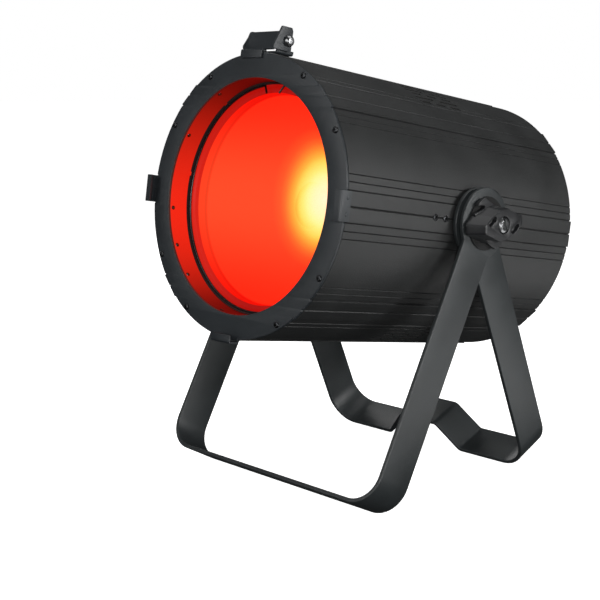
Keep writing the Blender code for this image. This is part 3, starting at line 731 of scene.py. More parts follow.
def skin_profile(fine_lines, extra=()):
    """The whole outer outline of the barrel: (degrees, radius) all the way round."""
    half = band_section(fine_lines)
    reach = half[-1][0]
    last = 180 / BANDS
    count = 5
    half += [(reach + (last - reach) * step / count, BODY_RADIUS) for step in range(1, count)]
    turns = {}
    for band in range(BANDS):
        middle = 360 / BANDS * band
        for angle, radius in half:
            turns[round((middle + angle) % 360, 4)] = radius
            turns[round((middle - angle) % 360, 4)] = radius
        turns[round((middle + last) % 360, 4)] = BODY_RADIUS
    for angle in extra:
        near = [known for known in turns if abs(known - angle) < 0.35 and turns[known] == BODY_RADIUS]
        for known in near:
            del turns[known]
        turns[round(angle % 360, 4)] = BODY_RADIUS
    return sorted(turns.items())


VENT_ANGLES = (67.5, 112.5, 247.5, 292.5)
VENT_STEP = 3.6
VENT_HALF_ANGLE = math.degrees(0.0016 / BODY_RADIUS)
VENT_ROWS = (-3, -2, -1, 0, 1, 2, 3)
VENT_SHORT = (3, 0.0140, 0.0225)
VENT_LONG = (2, 0.0260, 0.0365)


def vent_slots():
    """Every vent slot as (first angle, last angle, low, high)."""
    for centre in VENT_ANGLES:
        for row in VENT_ROWS:
            count, length, pitch = VENT_SHORT if row % 2 else VENT_LONG
            turn = centre + row * VENT_STEP
            for slot in range(count):
                along = (slot - (count - 1) / 2) * pitch
                yield (turn - VENT_HALF_ANGLE, turn + VENT_HALF_ANGLE,
                       along - length / 2, along + length / 2)


def barrel_mesh():
    """The ribbed skin with open vent slots, a wall thick, closed at both ends."""
    slots = list(vent_slots())
    extra = sorted({round(angle, 4) for slot in slots for angle in slot[:2]})
    profile = skin_profile((9.2, 12.2), extra)
    low, high = SHELL_LOW.z, SHELL_HIGH.z
    lip = 0.0005
    stations = sorted({low, low + lip, high} | {round(place, 6) for slot in slots for place in slot[2:]})
    turns = [math.radians(angle) for angle, _ in profile]
    count = len(profile)
    near = [[slot for slot in slots if slot[0] - 1 < angle < slot[1] + 1] for angle, _ in profile]
    shape = bmesh.new()
    outer, inner = [], []
    for place in stations:
        inset = lip if place == low else 0.0
        skin = [radius - inset for _, radius in profile]
        for rings, radii in ((outer, skin), (inner, [BORE_RADIUS + inset] * count)):
            rings.append([shape.verts.new((radius * math.cos(turn), radius * math.sin(turn), place))
                          for radius, turn in zip(radii, turns)])

    def open_cell(column, row):
        if not 0 <= row < len(stations) - 1:
            return True
        first, second = profile[column][0], profile[(column + 1) % count][0]
        angle, place = (first + second) / 2, (stations[row] + stations[row + 1]) / 2
        return any(a < angle < b and c < place < d for a, b, c, d in near[column])

    for column in range(count):
        following = (column + 1) % count
        for row in range(len(stations) - 1):
            if open_cell(column, row):
                continue
            shape.faces.new((outer[row][column], outer[row][following], outer[row + 1][following],
                             outer[row + 1][column]))
            shape.faces.new((inner[row][column], inner[row + 1][column], inner[row + 1][following],
                             inner[row][following]))
            for step, line in ((-1, row), (1, row + 1)):
                if open_cell(column, row + step):
                    shape.faces.new((outer[line][column], inner[line][column], inner[line][following],
                                     outer[line][following]))
            for step, line in ((-1, column), (1, following)):
                if open_cell((column + step) % count, row):
                    shape.faces.new((outer[row][line], outer[row + 1][line], inner[row + 1][line],
                                     inner[row][line]))
    return finish_mesh(shape, "barrel_skin", 24)


def screw_head(name, radius, height, socket=0.42):
    """A domed screw head with a hexagonal recess; its seat is at height 0."""
    steps, wedge = 24, math.pi / 6
    rings = []
    for share, lift in ((1.0, 0.0), (1.0, 0.45), (0.93, 0.75), (0.80, 0.93), (0.62, 1.0), (socket, 1.0),
                        (socket, 0.25)):
        ring = []
        for step in range(steps):
            turn = 2 * math.pi * step / steps
            reach = share * radius
            if share == socket:
                reach *= math.cos(wedge) / math.cos(turn % (2 * wedge) - wedge)
            ring.append((reach * math.cos(turn), reach * math.sin(turn), lift * height))
        rings.append(ring)
    return lofted(name, rings)


class PARCAN_OT_barrel(bpy.types.Operator):
    """Ribbed barrel with its vents and side screws"""

    bl_idname = "parcan.barrel"
    bl_label = "Barrel"

    def execute(self, context):
        shell = show("barrel_skin", barrel_mesh(), "housing", "barrel_black", nodes=["barrel_shell"])
        self.paint_recess_shade(shell)
        cut(shell, drill(STUD_HOLE, -0.14, 0.14), ACROSS)
        for side, (sign, _) in SIDES.items():
            for number in (1, 2):
                node = f"groove_screw_{side}_{number}"
                across = BARREL @ shift(0, 0, middle_of(node).z) @ spin(sign * 90, "Y")
                cut(shell, drill(0.0033, 0.1286, 0.14, 32), across)
                head = screw_head(node, 0.0028, 0.0014, 0.5)
                show(f"{node}_head", head, "housing", "dark_steel", across @ shift(0, 0, 0.1290), [node])
        settle(shell, 24)
        return {"FINISHED"}

    def paint_recess_shade(self, shell):
        """Painted shade: the soft black finish on the inside of the barrel, on the walls and ends of its slots and
        at the bottom of its grooves, where shade falls.
        """
        shell.data.materials.append(finishes()["fibre"])
        for face in shell.data.polygons:
            # Faces below the skin that face sideways, and the slot ends, take the black as painted shade.
            deep = math.hypot(face.center.x, face.center.y) < BODY_RADIUS - 0.00045
            face.material_index = int(deep and abs(face.normal.z) < 0.9 or self.in_slot(face))

    def in_slot(self, face):
        """Whether a face is the end of a vent slot."""
        return abs(face.normal.z) > 0.9 and SHELL_LOW.z + 0.01 < face.center.z < SHELL_HIGH.z - 0.01


class PARCAN_OT_front_ring(bpy.types.Operator):
    """Flat ring at the front, with eight screws and three frame clips"""

    bl_idname = "parcan.front_ring"
    bl_label = "Front ring"

    def execute(self, context):
        size = context.scene.par_can_size
        outline = [(radius * math.cos(math.radians(angle)), radius * math.sin(math.radians(angle)))
                   for angle, radius in skin_profile(())]
        seat_circle = 0.1253
        places = [node for node in frame["nodes"] if node.startswith("ring_screw_")]
        loops = [outline, circle(RING_BORE, 160)]
        plate_mesh = plate("front_ring_plate", loops, RING_LOW.z, RING_FACE, 0.00025, 2)
        show("front_ring_plate", plate_mesh, "housing", "ring_slate", nodes=["front_ring"])
        for node in sorted(places):
            middle = middle_of(node)
            turn = math.degrees(math.atan2(middle.y, middle.x))
            show(f"{node}_head", screw_head(node, 0.0029, 0.0016), "housing", "dark_steel",
                 BARREL @ spin(turn, "Z") @ shift(seat_circle, 0, RING_FACE), [node])
        self.clips(size)
        return {"FINISHED"}

    def clips(self, size):
        """The three bent clips on the rim, each with two rivets."""
        sheet = 0.0018
        for name, turn in (("right", 0), ("left", 180), ("bottom", -90)):
            node = f"accessory_clip_{name}"
            axes = BARREL @ spin(turn, "Z")
            low, high = extent(node, axes)
            outside, reach, lip = high.x - sheet / 2, high.z - sheet / 2, low.x
            path = [(low.z, outside), (reach, outside), (reach, lip)]
            path = rounded(path, size.bend + sheet / 2, False, 5)
            mesh = plate(node, [thick(path, sheet)], low.y, high.y, 0.00035, 2)
            mesh.transform(Matrix(((0, 1, 0, 0), (0, 0, 1, 0), (1, 0, 0, 0), (0, 0, 0, 1))))
            mesh.flip_normals()
            rivet = rivet_head(0.0013, 0.0021, 0.0009, 0.0004)
            outward = shift(high.x, 0, 0) @ spin(90, "Y")
            rivets = [(rivet, outward @ shift(-(low.z + 0.004), place, -0.0003))
                      for place in (-0.007, 0.007)]
            clip = joined(node, [(mesh, HERE), *rivets])
            show(f"{node}_sheet", clip, "housing", "ring_slate", axes, [node])


# ---------------------------------------------------------------- latch

LATCH_TURN = Matrix(((0, 0, 1, 0), (0, 1, 0, 0), (1, 0, 0, 0), (0, 0, 0, 1)))


def cheek(name, outline, low, high, edge=0.0003):
    """A side plate whose outline is given as (along the barrel, up)."""
    mesh = plate(name, outline, low, high, edge, 2)
    mesh.transform(LATCH_TURN)
    mesh.flip_normals()
    return mesh


class PARCAN_OT_latch(bpy.types.Operator):
    """Sprung gate over the ring, with its bracket, pin and coil"""

    bl_idname = "parcan.latch"
    bl_label = "Top latch"

    def execute(self, context):
        pin = middle_of("latch_bolt")
        here = BARREL @ shift(0, pin.y, pin.z)
        self.bracket(pin)
        self.gate(here)
        self.pin_and_coil(here)
        return {"FINISHED"}

    def bracket(self, axis):
        """The U bracket that is riveted to the barrel."""
        low, high = extent("latch_bracket")
        sheet = 0.0018
        half = (high.x - low.x) / 2 - sheet / 2
        top = axis.y + 0.0055
        path = [(-half, low.y + 0.004), (-half, low.y + sheet / 2), (half, low.y + sheet / 2),
                (half, low.y + 0.004)]
        path = rounded(path, 0.0016, False, 5)
        base = plate("bracket base", [thick(path, sheet)], low.z, high.z, 0.0003, 2)
        ear = [(0.153, low.y + 0.003), (0.169, low.y + 0.003), (0.169, 0.140),
               *arc(axis.z, axis.y, top - axis.y, 20, 160, 10), (0.155, 0.140)]
        hole = circle(0.0027, 24, axis.z, axis.y)
        ears = [(cheek("ear", [ear, hole], start, start + sheet), HERE)
                for start in (low.x, high.x - sheet)]
        rivet = rivet_head(0.0016, 0.0026, 0.0011, 0.0005)
        rivets = [(rivet, shift(x, low.y + sheet, 0.1600) @ spin(-90, "X")) for x in (-0.009, 0.009)]
        bracket = joined("latch_bracket_sheet", [(base, HERE), *ears, *rivets])
        show("latch_bracket_sheet", bracket, "housing", "ring_slate", nodes=["latch_bracket"])

    def gate(self, here):
        """The gate: two cheeks, a sloping web and a turned-down lip with a notch."""
        sheet = 0.0018
        parts = []
        for crown, low, high in ((0.0125, 0.0190, 0.0210), (0.0085, -0.0210, -0.0190)):
            outline = rounded([(-0.0050, -0.0090), (0.0160, -0.0090), (0.0165, -0.0060), (0.0080, crown),
                               (-0.0040, crown), (-0.0055, crown - 0.003)], 0.0014)
            parts.append((cheek("cheek", [outline, circle(0.0026, 24)], low, high), HERE))
        slope = [(0.0090, 0.0072), (0.0154, -0.0095)]
        parts.append((cheek("web", [thick(slope, sheet)], -0.0205, 0.0205), HERE))
        lip = rounded([(0.0150, -0.0098), (0.0175, -0.0098), (0.0175, -0.0170)], 0.0016, False, 5)
        parts.append((cheek("lip", [thick(lip, sheet)], -0.0205, 0.0078), HERE))
        gate = joined("latch_gate_sheet", parts)
        show("latch_gate_sheet", gate, "latch_gate", "ring_slate", here, ["latch_gate"])

    def pin_and_coil(self, here):
        """The pin with its domed head and lock nut, and the torsion coil with its legs."""
        pin = [(0, 0.0258), (0.0030, 0.0256), (0.0044, 0.0246), (0.0050, 0.0230), (0.0050, 0.0214),
               (0.0024, 0.0214), (0.0024, -0.0215), (0.0042, -0.0215), (0.0042, -0.0243), (0.0022, -0.0250),
               (0, -0.0250)]
        show("latch_pin", turned_solid("latch_pin", pin, 0.0003, 32), "housing", "bright_steel",
             here @ spin(90, "Y"), ["latch_bolt"], material="nut_steel")
        turns, per_turn, radius, width = 6, 24, 0.0040, 0.012
        count = turns * per_turn
        coil = []
        for index in range(count + 1):
            angle = 2 * math.pi * index / per_turn
            coil.append((width * (index / count - 0.5), radius * math.sin(angle), radius * math.cos(angle)))
        first = (coil[0][0], -0.0080, radius)
        last = (coil[-1][0] + 0.0010, -0.0070, radius + 0.0070)
        coil = tube("latch_coil", [first, *coil, last], 0.0006)
        show("latch_coil", coil, "housing", "bright_steel", here, ["latch_spring"])


# ---------------------------------------------------------------- optics

TAB_TURN = Matrix(((0, 0, 1, 0), (1, 0, 0, 0), (0, 1, 0, 0), (0, 0, 0, 1)))


class PARCAN_OT_optics(bpy.types.Operator):
    """Sleeve, lens cartridge, reflector and light source"""

    bl_idname = "parcan.optics"
    bl_label = "Optics"

    def execute(self, context):
        self.sleeve()
        self.cartridge()
        self.source()
        return {"FINISHED"}

    def sleeve(self):
        """The bright tube behind the ring, with a lap seam, rivets and spring tabs."""
        low, high = extent("front_sleeve")
        rear = low.z + 0.0016
        profile = [(0.1092, high.z), (0.1092, low.z), (0.0990, low.z), (0.0990, rear), (RING_BORE, rear),
                   (RING_BORE, high.z)]
        wall = turned("sleeve_wall", rounded(profile, 0.0005), 160)
        show("sleeve_wall", wall, "housing", "sleeve_silver", nodes=["front_sleeve"])
        first, last = 171.0, 173.7
        seam = arc(0, 0, RING_BORE - 0.0002, first, last, 6) + arc(0, 0, RING_BORE + 0.0003, last, first, 6)
        seam = plate("sleeve_seam", [seam], RIM_FACE + 0.0045, high.z, 0.0001)
        show("sleeve_seam", seam, "housing", "sleeve_silver")
        rivet = rivet_head(0.0014, 0.0022, 0.0010, 0.0005)
        inward = shift(RING_BORE, 0, high.z - 0.003) @ spin(-90, "Y")
        rivets = [(rivet, spin(angle, "Z") @ inward)
                  for angle in (-171, -151, -133, 150, 120, 60, 30, -30, -60, -100)]
        show("sleeve_rivets", joined("sleeve_rivets", rivets), "housing", "dark_steel")
        tab = rounded([(-0.0024, 0), (0.0024, 0), (0.0018, 0.0075), (-0.0018, 0.0075)], 0.0006)
        tab = plate("tab", [tab], 0, 0.0007, 0.0002)
        upright = shift(RING_BORE - 0.0012, 0, RIM_FACE - 0.0012) @ TAB_TURN
        tabs = [(tab, spin(angle, "Z") @ upright) for angle in (170.2, 126, 36, -12)]
        show("sleeve_tabs", joined("sleeve_tabs", tabs), "lens_cartridge", "sleeve_silver")

    def cartridge(self):
        """The carrier with its bevelled rim, the frosted lens, a black rubber ring that also paints the shade in
        the groove beside it, and the sprung wire.
        """
        low, high = CARRIER_LOW.z, RIM_FACE
        lens_low, lens_high = extent("lens")
        seat = lens_high.z + 0.0003
        outside, pocket = CARRIER_HIGH.x, lens_high.x + 0.0004
        profile = [(outside, high), (outside, low), (pocket, low), (pocket, seat), (APERTURE, seat),
                   (APERTURE, seat + 0.0009), (0.1010, high - 0.0026), (0.1022, high - 0.0022),
                   (0.1034, high - 0.0004), (0.1042, high)]
        show("carrier_rim", turned("carrier_rim", rounded(profile, 0.0003), 160), "lens_cartridge",
             "sleeve_silver", nodes=["lens_carrier"], material="carrier")
        glass = rounded([(lens_high.x, lens_high.z), (lens_high.x, lens_low.z)], 0.0004, False)
        disc = [(0, lens_high.z), *glass, (0, lens_low.z)]
        glass = turned_solid("frosted_lens", disc, 0.0005, 160)
        show("frosted_lens", glass, "lens_cartridge", "lens_clear", nodes=["lens"])
        outside = RING_BORE - 0.0003
        # Black rubber ring, partly a real gasket and partly painted shade for the dark groove between sleeve and
        # carrier.
        seal_and_groove_shade = [(0.1052, high + 0.0002), (outside, high + 0.0002), (outside, high + 0.0046),
                (0.1064, high + 0.0046)]
        show("lens_seal_and_groove_shade", turned("lens_seal_and_groove_shade", rounded(seal_and_groove_shade, 0.0004), 128), "lens_cartridge", "fibre")
        wire_circle, hook = 0.1047, 0.0075
        lift = high + 0.0014
        route = [(*point, lift) for point in arc(0, 0, wire_circle, 97, 443, 120)]
        first, last = [(*arc(0, 0, wire_circle - hook, angle, angle, 1)[0], lift + 0.0015)
                       for angle in (95, 445)]
        route = [first, *route, last]
        show("lens_wire", tube("lens_wire", route, 0.0010), "lens_cartridge", "dark_steel",
             nodes=["retaining_wire"])

    def source(self):
        """The reflector bowl and the yellow emitter on its board."""
        low, high = extent("reflector")
        throat, rim, wall = 0.0225, 0.0965, 0.0008
        rows = 28
        inner = [(throat + (rim - throat) * math.sqrt(step / rows), low.z + (high.z - low.z) * step / rows)
                 for step in range(rows + 1)]
        outer = [(radius + wall, height - wall * 0.3) for radius, height in reversed(inner)]
        bowl = show("reflector_bowl", turned("reflector_bowl", outer + inner, 128), "housing",
                    "reflector_silver", nodes=["reflector"])
        bowl.data.materials.append(finishes()["bowl_back"])
        for face in bowl.data.polygons:
            face.material_index = int(face.normal.z < 0)
        base, face = extent("led_module")
        seat = 0.0868
        board = block("board", base, (face.x, face.y, seat + 0.0002), 0.0006)
        dome = [(0, face.z), (0.0165, face.z), (0.0205, face.z - 0.0012), (0.0210, seat), (0, seat)]
        source = joined("light_source", [(board, HERE), (turned_solid("dome", dome, 0.0006, 64), HERE)])
        show("light_source", source, "housing", "led_yellow", nodes=["led_module"])


# ---------------------------------------------------------------- inside and rear panel

class PARCAN_OT_inside(bpy.types.Operator):
    """Heatsink, fan, plate, supply and board inside the barrel"""

    bl_idname = "parcan.inside"
    bl_label = "Inside"

    def execute(self, context):
        refinish({"heatsink_grey", "galvanised", "supply_case", "circuit_green", "moulded_black"})
        return {"FINISHED"}


BUTTONS = tuple(f"menu_button_{number}" for number in range(1, 5))
# Name, radius of the hole in the cover, and its number of sides.
PANEL_HOLES = (("power_inlet", 0.0120, 40), ("power_outlet", 0.0120, 40), ("data_inlet", 0.0118, 40),
               ("data_outlet", 0.0118, 40), ("fuse_holder", 0.0068, 32),
               *((button, 0.0052, 24) for button in BUTTONS))
# Name, finish and bore.
SOCKETS = (("power_inlet", "socket_blue", 0.0094), ("power_outlet", "socket_white", 0.0094),
           ("data_inlet", "dark_steel", 0.0092), ("data_outlet", "dark_steel", 0.0092))


class PARCAN_OT_rear_panel(bpy.types.Operator):
    """Rear cover with sockets, fuse, display, buttons and safety eye"""

    bl_idname = "parcan.rear_panel"
    bl_label = "Rear panel"

    def execute(self, context):
        refinish({"display_glass", "button_grey", "socket_blue", "socket_white"})
        self.cover()
        self.sockets()
        self.controls()
        self.eye()
        return {"FINISHED"}

    def cover(self):
        """The round cover with its cut-outs, louvres and screws."""
        low, high = COVER_LOW, COVER_HIGH
        loops = [circle(high.x, 128)]
        for name, radius, steps in PANEL_HOLES:
            middle = middle_of(name)
            loops.append(circle(radius, steps, middle.x, middle.y))
        x, y, _ = middle_of("display_window")
        loops.append(rectangle(x - 0.028, y - 0.009, x + 0.028, y + 0.009))
        for row in range(7):
            for side in (-1, 1):
                slot = rounded_slot(0.030, 0.0036)
                loops.append([(side * 0.088 + x, 0.0095 * (row - 3) + y) for x, y in slot])
        loops += [circle(0.0024, 12, side * 0.011, -0.094) for side in (-1, 1)]
        cover = plate("rear_cover_plate", loops, low.z, high.z, 0.00025)
        show("rear_cover_plate", cover, "housing", "barrel_black", nodes=["rear_cover"])
        head = screw_head("head", 0.0030, 0.0018)
        heads = [(head, shift(x, y, low.z) @ spin(180, "Y")) for x, y in arc(0, 0, 0.1185, 15, 330, 7)]
        show("cover_screws", joined("cover_screws", heads), "housing", "dark_steel")
        lining = rectangle(0.1250, low.z - 0.0004, BORE_RADIUS - 0.0002, high.z)
        show("cover_gasket", turned("cover_gasket", rounded(lining, 0.0002), 128), "housing", "fibre")

    def sockets(self):
        """Two power sockets and two data sockets, each with its flange, rim, pins and screws."""
        inside, floor, rear = -0.1270, -0.1400, -0.1500
        pin = [(0, rear + 0.0010), (0.0008, rear + 0.0015), (0.0008, floor + 0.0001), (0, floor + 0.0001)]
        pin = turned_solid("pin", pin, 0.0002, 16)
        head = screw_head("head", 0.0018, 0.0010)
        for name, slot, bore in SOCKETS:
            low, high = extent(name)
            x, y = (low.x + high.x) / 2, (low.y + high.y) / 2
            here = shift(x, y, 0)
            flange = rounded(rectangle(low.x, low.y, high.x, high.y), 0.003, steps=5)
            flange = plate("flange", [flange, circle(bore, 40, x, y)], low.z, rear - 0.0003, 0.0003, 2)
            barrel = [(bore, low.z - 0.0001), (0.0112, low.z - 0.0001), (0.0117, rear), (0.0117, inside),
                      (0, inside), (0, floor), (bore, floor)]
            parts = [(flange, HERE), (self.socket_barrel(barrel), here)]
            if name.startswith("data"):
                rim = rounded(rectangle(bore, low.z - 0.0022, 0.0113, low.z), 0.0005)
                parts.append((turned("rim", rim, 48), here))
            show(f"{name}_body", joined(name, parts), "housing", slot, nodes=[name])
            pins = [(pin, here @ shift(px, py, 0)) for px, py in arc(0, 0, 0.0046, 90, 330, 2)]
            show(f"{name}_pins", joined("pins", pins), "housing", "bright_steel", material="brass")
            heads = [(head, shift(x + side * 0.0100, y - side * 0.0110, low.z) @ spin(180, "Y"))
                     for side in (-1, 1)]
            show(f"{name}_screws", joined("heads", heads), "housing", "dark_steel")

    def socket_barrel(self, profile):
        """A cup with a flat bottom, open at the back."""
        return turned("barrel", rounded(profile, 0.0004, False), 48)

    def controls(self):
        """A raised frame round the display, and a dished keypad plate under the buttons."""
        low, high = extent("display_window")
        border, lap = 0.002, 0.0002
        outer = rectangle(low.x - border, low.y - border, high.x + border, high.y + border)
        inner = rectangle(low.x + lap, low.y + lap, high.x - lap, high.y - lap)
        loops = [rounded(outer, 0.002, steps=5), inner]
        bezel = plate("display_bezel", loops, low.z - 0.0006, COVER_LOW.z, 0.0003, 2)
        show("display_bezel", bezel, "housing", "moulded_black")
        buttons = [middle_of(button) for button in BUTTONS]
        left = min(button.x for button in buttons) - 0.010
        right = max(button.x for button in buttons) + 0.010
        level = buttons[0].y
        pad = rounded(rectangle(left, level - 0.009, right, level + 0.009), 0.004, steps=6)
        holes = [circle(0.0053, 32, button.x, button.y) for button in buttons]
        keypad = plate("keypad_plate", [pad, *holes], COVER_LOW.z - 0.0008, COVER_LOW.z - 0.0001, 0.0002)
        show("keypad_plate", keypad, "housing", "moulded_black")

    def eye(self):
        """The steel loop for a safety bond."""
        low, high = extent("safety_eye")
        wire = 0.0020
        reach = (high.x - low.x) / 2 - wire
        level = (low.y + high.y) / 2
        bend = low.z + wire + reach
        bow = [(x, level, bend + y) for x, y in arc(0, 0, reach, 0, -180, 32)]
        route = [(reach, level, high.z), *bow, (-reach, level, high.z)]
        show("safety_loop", tube("safety_loop", route, wire), "housing", "bright_steel", nodes=["safety_eye"])
        collar = turned("collar", rounded(rectangle(wire, -0.1516, 0.0042, -0.1502), 0.0003), 32)
        collars = [(collar, shift(side * reach, level, 0)) for side in (-1, 1)]
        show("safety_collars", joined("safety_collars", collars), "housing", "bright_steel")


# ---------------------------------------------------------------- yokes

def yoke_axes(name):
    """A yoke's own axes: X along the tilt axis, Y up its legs, Z across the strip."""
    mount = next(row for row in frame["record"]["mounts"] if row["name"].startswith(name.split("_")[0]))
    down = Vector(mount["axis"]).normalized()
    lean = math.atan2(down.y, -down.z)
    return Matrix.Translation(PIVOT) @ Matrix.Rotation(math.pi / 2 + lean, 4, "X")


def yoke_rows(outer, distance, hat):
    """Rows across the strip from one eye's tip to the other's: (x, y, half width)."""
    middle = outer - STRIP_SHEET / 2
    bend = 0.030 - STRIP_SHEET / 2
    low = -distance + STRIP_SHEET / 2
    junction = math.degrees(math.asin(STRIP_HALF / EYE_RADIUS))
    eye = [(middle, y, width) for y, width in arc(0, 0, EYE_RADIUS, 4, 180 - junction, 26)]
    leg = [(middle, y, STRIP_HALF) for y in (-0.05, -0.12, -0.19)]
    corner = [(x, y, STRIP_HALF) for x, y in arc(middle - bend, low + bend, bend, 0, -90, 12)]
    if hat:
        rise, foot, top = 0.028, 0.049, 0.024
        path = [(foot + 0.02, low), (foot, low), (top, low + rise), (0, low + rise)]
        half = [(x, y, STRIP_HALF) for x, y in rounded(path, 0.006, False, 4)[1:]]
    else:
        half = [(x, low, STRIP_HALF) for x in (0.07, 0.03, 0.0)]
    side = eye + leg + corner + half
    return side + [(-x, y, width) for x, y, width in reversed(side[:-1])]


def strip_mesh(name, rows):
    """Bent strip of even thickness along rows."""
    places = [Vector((x, y)) for x, y, _ in rows]
    rings = []
    for index, place in enumerate(places):
        width = rows[index][2]
        before = place - places[max(index - 1, 0)]
        after = places[min(index + 1, len(rows) - 1)] - place
        way = (before.normalized() + after.normalized()).normalized()
        normal = Vector((-way.y, way.x))
        reference = after if after.length else before
        cosine = max(0.5, normal.dot(Vector((-reference.y, reference.x)).normalized()))
        offset = normal * STRIP_SHEET / 2 / cosine
        outside, inside = place + offset, place - offset
        rings.append([(*outside, -width), (*outside, width), (*inside, width), (*inside, -width)])
    return lofted(name, rings)


class PARCAN_OT_yokes(bpy.types.Operator):
    """Two U yokes of flat strip with round eyes"""

    bl_idname = "parcan.yokes"
    bl_label = "Yokes"

    def execute(self, context):
        size = context.scene.par_can_size
        for name in ("front_yoke", "rear_yoke"):
            axes = yoke_axes(name)
            low, high = extent(name, axes)
            rows = yoke_rows(high.x, -low.y, name == "rear_yoke")
            yoke = show(f"{name}_strip", strip_mesh(name, rows), name, "yoke_black", axes, [name])
            cut(yoke, drill(STUD_HOLE, -0.16, 0.16), ACROSS)
            cut(yoke, drill(0.0065, 0.22, 0.30, 48), axes @ spin(90, "X"))
            soften(yoke, size.yoke_edge, 3)
        return {"FINISHED"}


# ---------------------------------------------------------------- pivots and knobs

def knob_outline(scale):
    """The knob seen end-on: two offset wings, the same when turned half round."""
    wing = [(0.0275, 0.0062), (0.0280, -0.0012), (0.0185, -0.0085), (0.0060, -0.0140),
            (-0.0050, -0.0150)]
    shape = wing + [(-x, -y) for x, y in wing]
    return rounded([(x * scale, y * scale) for x, y in shape], 0.0022 * scale, steps=4)


def knob_mesh(name, low, high):
    """A moulded knob that narrows outwards on a thin flange, with softened rims."""
    levels = [(low, 1.16), (low + 0.0004, 1.18), (low + 0.0030, 1.17), (low + 0.0048, 1.12),
              (high - 0.0012, 1.0), (high - 0.0004, 0.985), (high, 0.955)]
    return lofted(name, [[(-y, x, height) for x, y in knob_outline(scale)] for height, scale in levels])


def knob_base(low, high):
    """The thin plate under the wings, with two short lobes between them."""
    half = [(0.0135, 0.0110), (0.0000, 0.0198), (-0.0088, 0.0246), (-0.0160, 0.0212),
            (-0.0200, 0.0176), (-0.0105, 0.0176), (-0.0080, 0.0155), (-0.0160, 0.0128),
            (-0.0240, 0.0110)]
    outline = half + [(-x, -y) for x, y in half]
    mesh = plate("knob base", [rounded(outline, 0.0012), circle(STUD_HOLE, 32)], low, high, 0.0005, 2)
    mesh.transform(spin(90, "Z"))
    return mesh


class PARCAN_OT_pivots(bpy.types.Operator):
    """Studs, friction pads and washers on the tilt axis"""

    bl_idname = "parcan.pivots"
    bl_label = "Pivots"

    def execute(self, context):
        for side, (_, axes) in SIDES.items():
            for kind, edge in (("pivot_pad", 0.0002), ("yoke_washer", 0.0005), ("clamp_washer", 0.0004)):
                node = f"{kind}_{side}"
                low, high = extent(node, axes)
                profile = rounded(rectangle(STUD_HOLE, low.z, high.x, high.z), edge)
                show(f"{node}_disc", turned(node, profile), body_of(node), "fibre", axes, [node])
            node = f"pivot_stud_{side}"
            low, high = extent(node, axes)
            stud = [(0, high.z), (0.0052, high.z), (0.0058, high.z - 0.0006)]
            place = high.z - 0.0012
            while place > 0.1300:
                stud += [(0.0058, place), (0.0053, place - 0.0006)]
                place -= 0.0012
            stud += [(0.0058, 0.1290), (0.0058, 0.1246), (0.0115, 0.1240), (0.0115, low.z), (0, low.z)]
            show(f"{node}_threaded", turned(node, stud, 48), body_of(node), "bright_steel", axes, [node])
        return {"FINISHED"}


class PARCAN_OT_knobs(bpy.types.Operator):
    """Moulded clamp knobs with their steel nuts"""

    bl_idname = "parcan.knobs"
    bl_label = "Clamp knobs"

    def execute(self, context):
        for side, (_, axes) in SIDES.items():
            low, high = extent(f"knob_{side}", axes)
            nut_low, nut_high = extent(f"knob_nut_{side}", axes)
            knob = show(f"clamp_knob_{side}", knob_mesh("knob", low.z, high.z), body_of(f"knob_{side}"),
                        "knob_plastic", axes, [f"knob_{side}"])
            seat = nut_low.z - 0.0003
            bore = [(0, 0.14), (STUD_HOLE, 0.14), (STUD_HOLE, seat), (0.0081, seat), (0.0081, 0.18),
                    (0, 0.18)]
            cut(knob, turned("bore", bore, 40), axes)
            pocket = plate("pocket", [rounded_slot(0.0125, 0.0050)], high.z - 0.0045, 0.17, 0.0002)
            scoop = plate("scoop", [rounded_slot(0.0150, 0.0050)], 0, 0.010, 0.0002)
            for wing in (1, -1):
                tip = shift(-0.0045 * wing, -0.0170 * wing, 0)
                cut(knob, pocket.copy(), axes @ tip @ spin(-59, "Z"))
                flank = spin(90 - 90 * wing, "Z") @ shift(0.0105, -0.004, low.z + 0.010)
                cut(knob, scoop.copy(), axes @ flank @ spin(90, "Y") @ spin(90, "Z"))
            soften(knob, 0.0004, 2, 50)
            show(f"knob_base_{side}", knob_base(low.z + 0.0002, low.z + 0.0042), body_of(f"knob_{side}"),
                 "knob_plastic", axes)
            self.nut(side, axes, nut_low.z, nut_high.z)
        return {"FINISHED"}

    def nut(self, side, axes, low, high):
        """A domed steel nut with a screwdriver slot."""
        node = f"knob_nut_{side}"
        profile = [(0, high), (0.0052, high), (0.0070, high - 0.0012), (0.0077, high - 0.0030),
                   (0.0077, low), (0, low)]
        nut = show(f"clamp_nut_{side}", turned_solid("nut", profile, 0.0006, 64), body_of(node),
                   "bright_steel", axes, [node], material="nut_steel")
        slot = block("slot", (-0.012, -0.0010, high - 0.0022), (0.012, 0.0010, 0.18), 0.0001)
        cut(nut, slot, axes @ spin(20, "Z"))


# ---------------------------------------------------------------- studio

# Name, place, the point it faces, width and height, and power in watts.
PANELS = (
    ("front", (-0.5, -2.0, 0.9), (0, 0, 0.25), (1.2, 1.2), 16),
    ("top", (0.2, 0.3, 2.2), (0, 0, 0.3), (1.6, 1.6), 18),
    ("left", (-1.8, 0.6, 0.9), (0, 0, 0.25), (1.0, 1.0), 12),
    ("edge", (1.5, -1.55, 0.55), (0, 0, 0.25), (0.25, 0.25), 24),
    ("flank", (1.5, 0.6, 0.6), (0.1, -0.05, 0.28), (0.35, 0.35), 12),
    ("low", (1.5, 0.1, 0.10), (0.1, 0, 0.05), (0.8, 0.15), 7),
    ("bounce", (0.43, 0.30, 0.004), (0.43, 0.30, 1.0), (0.40, 0.50), 1.0),
)


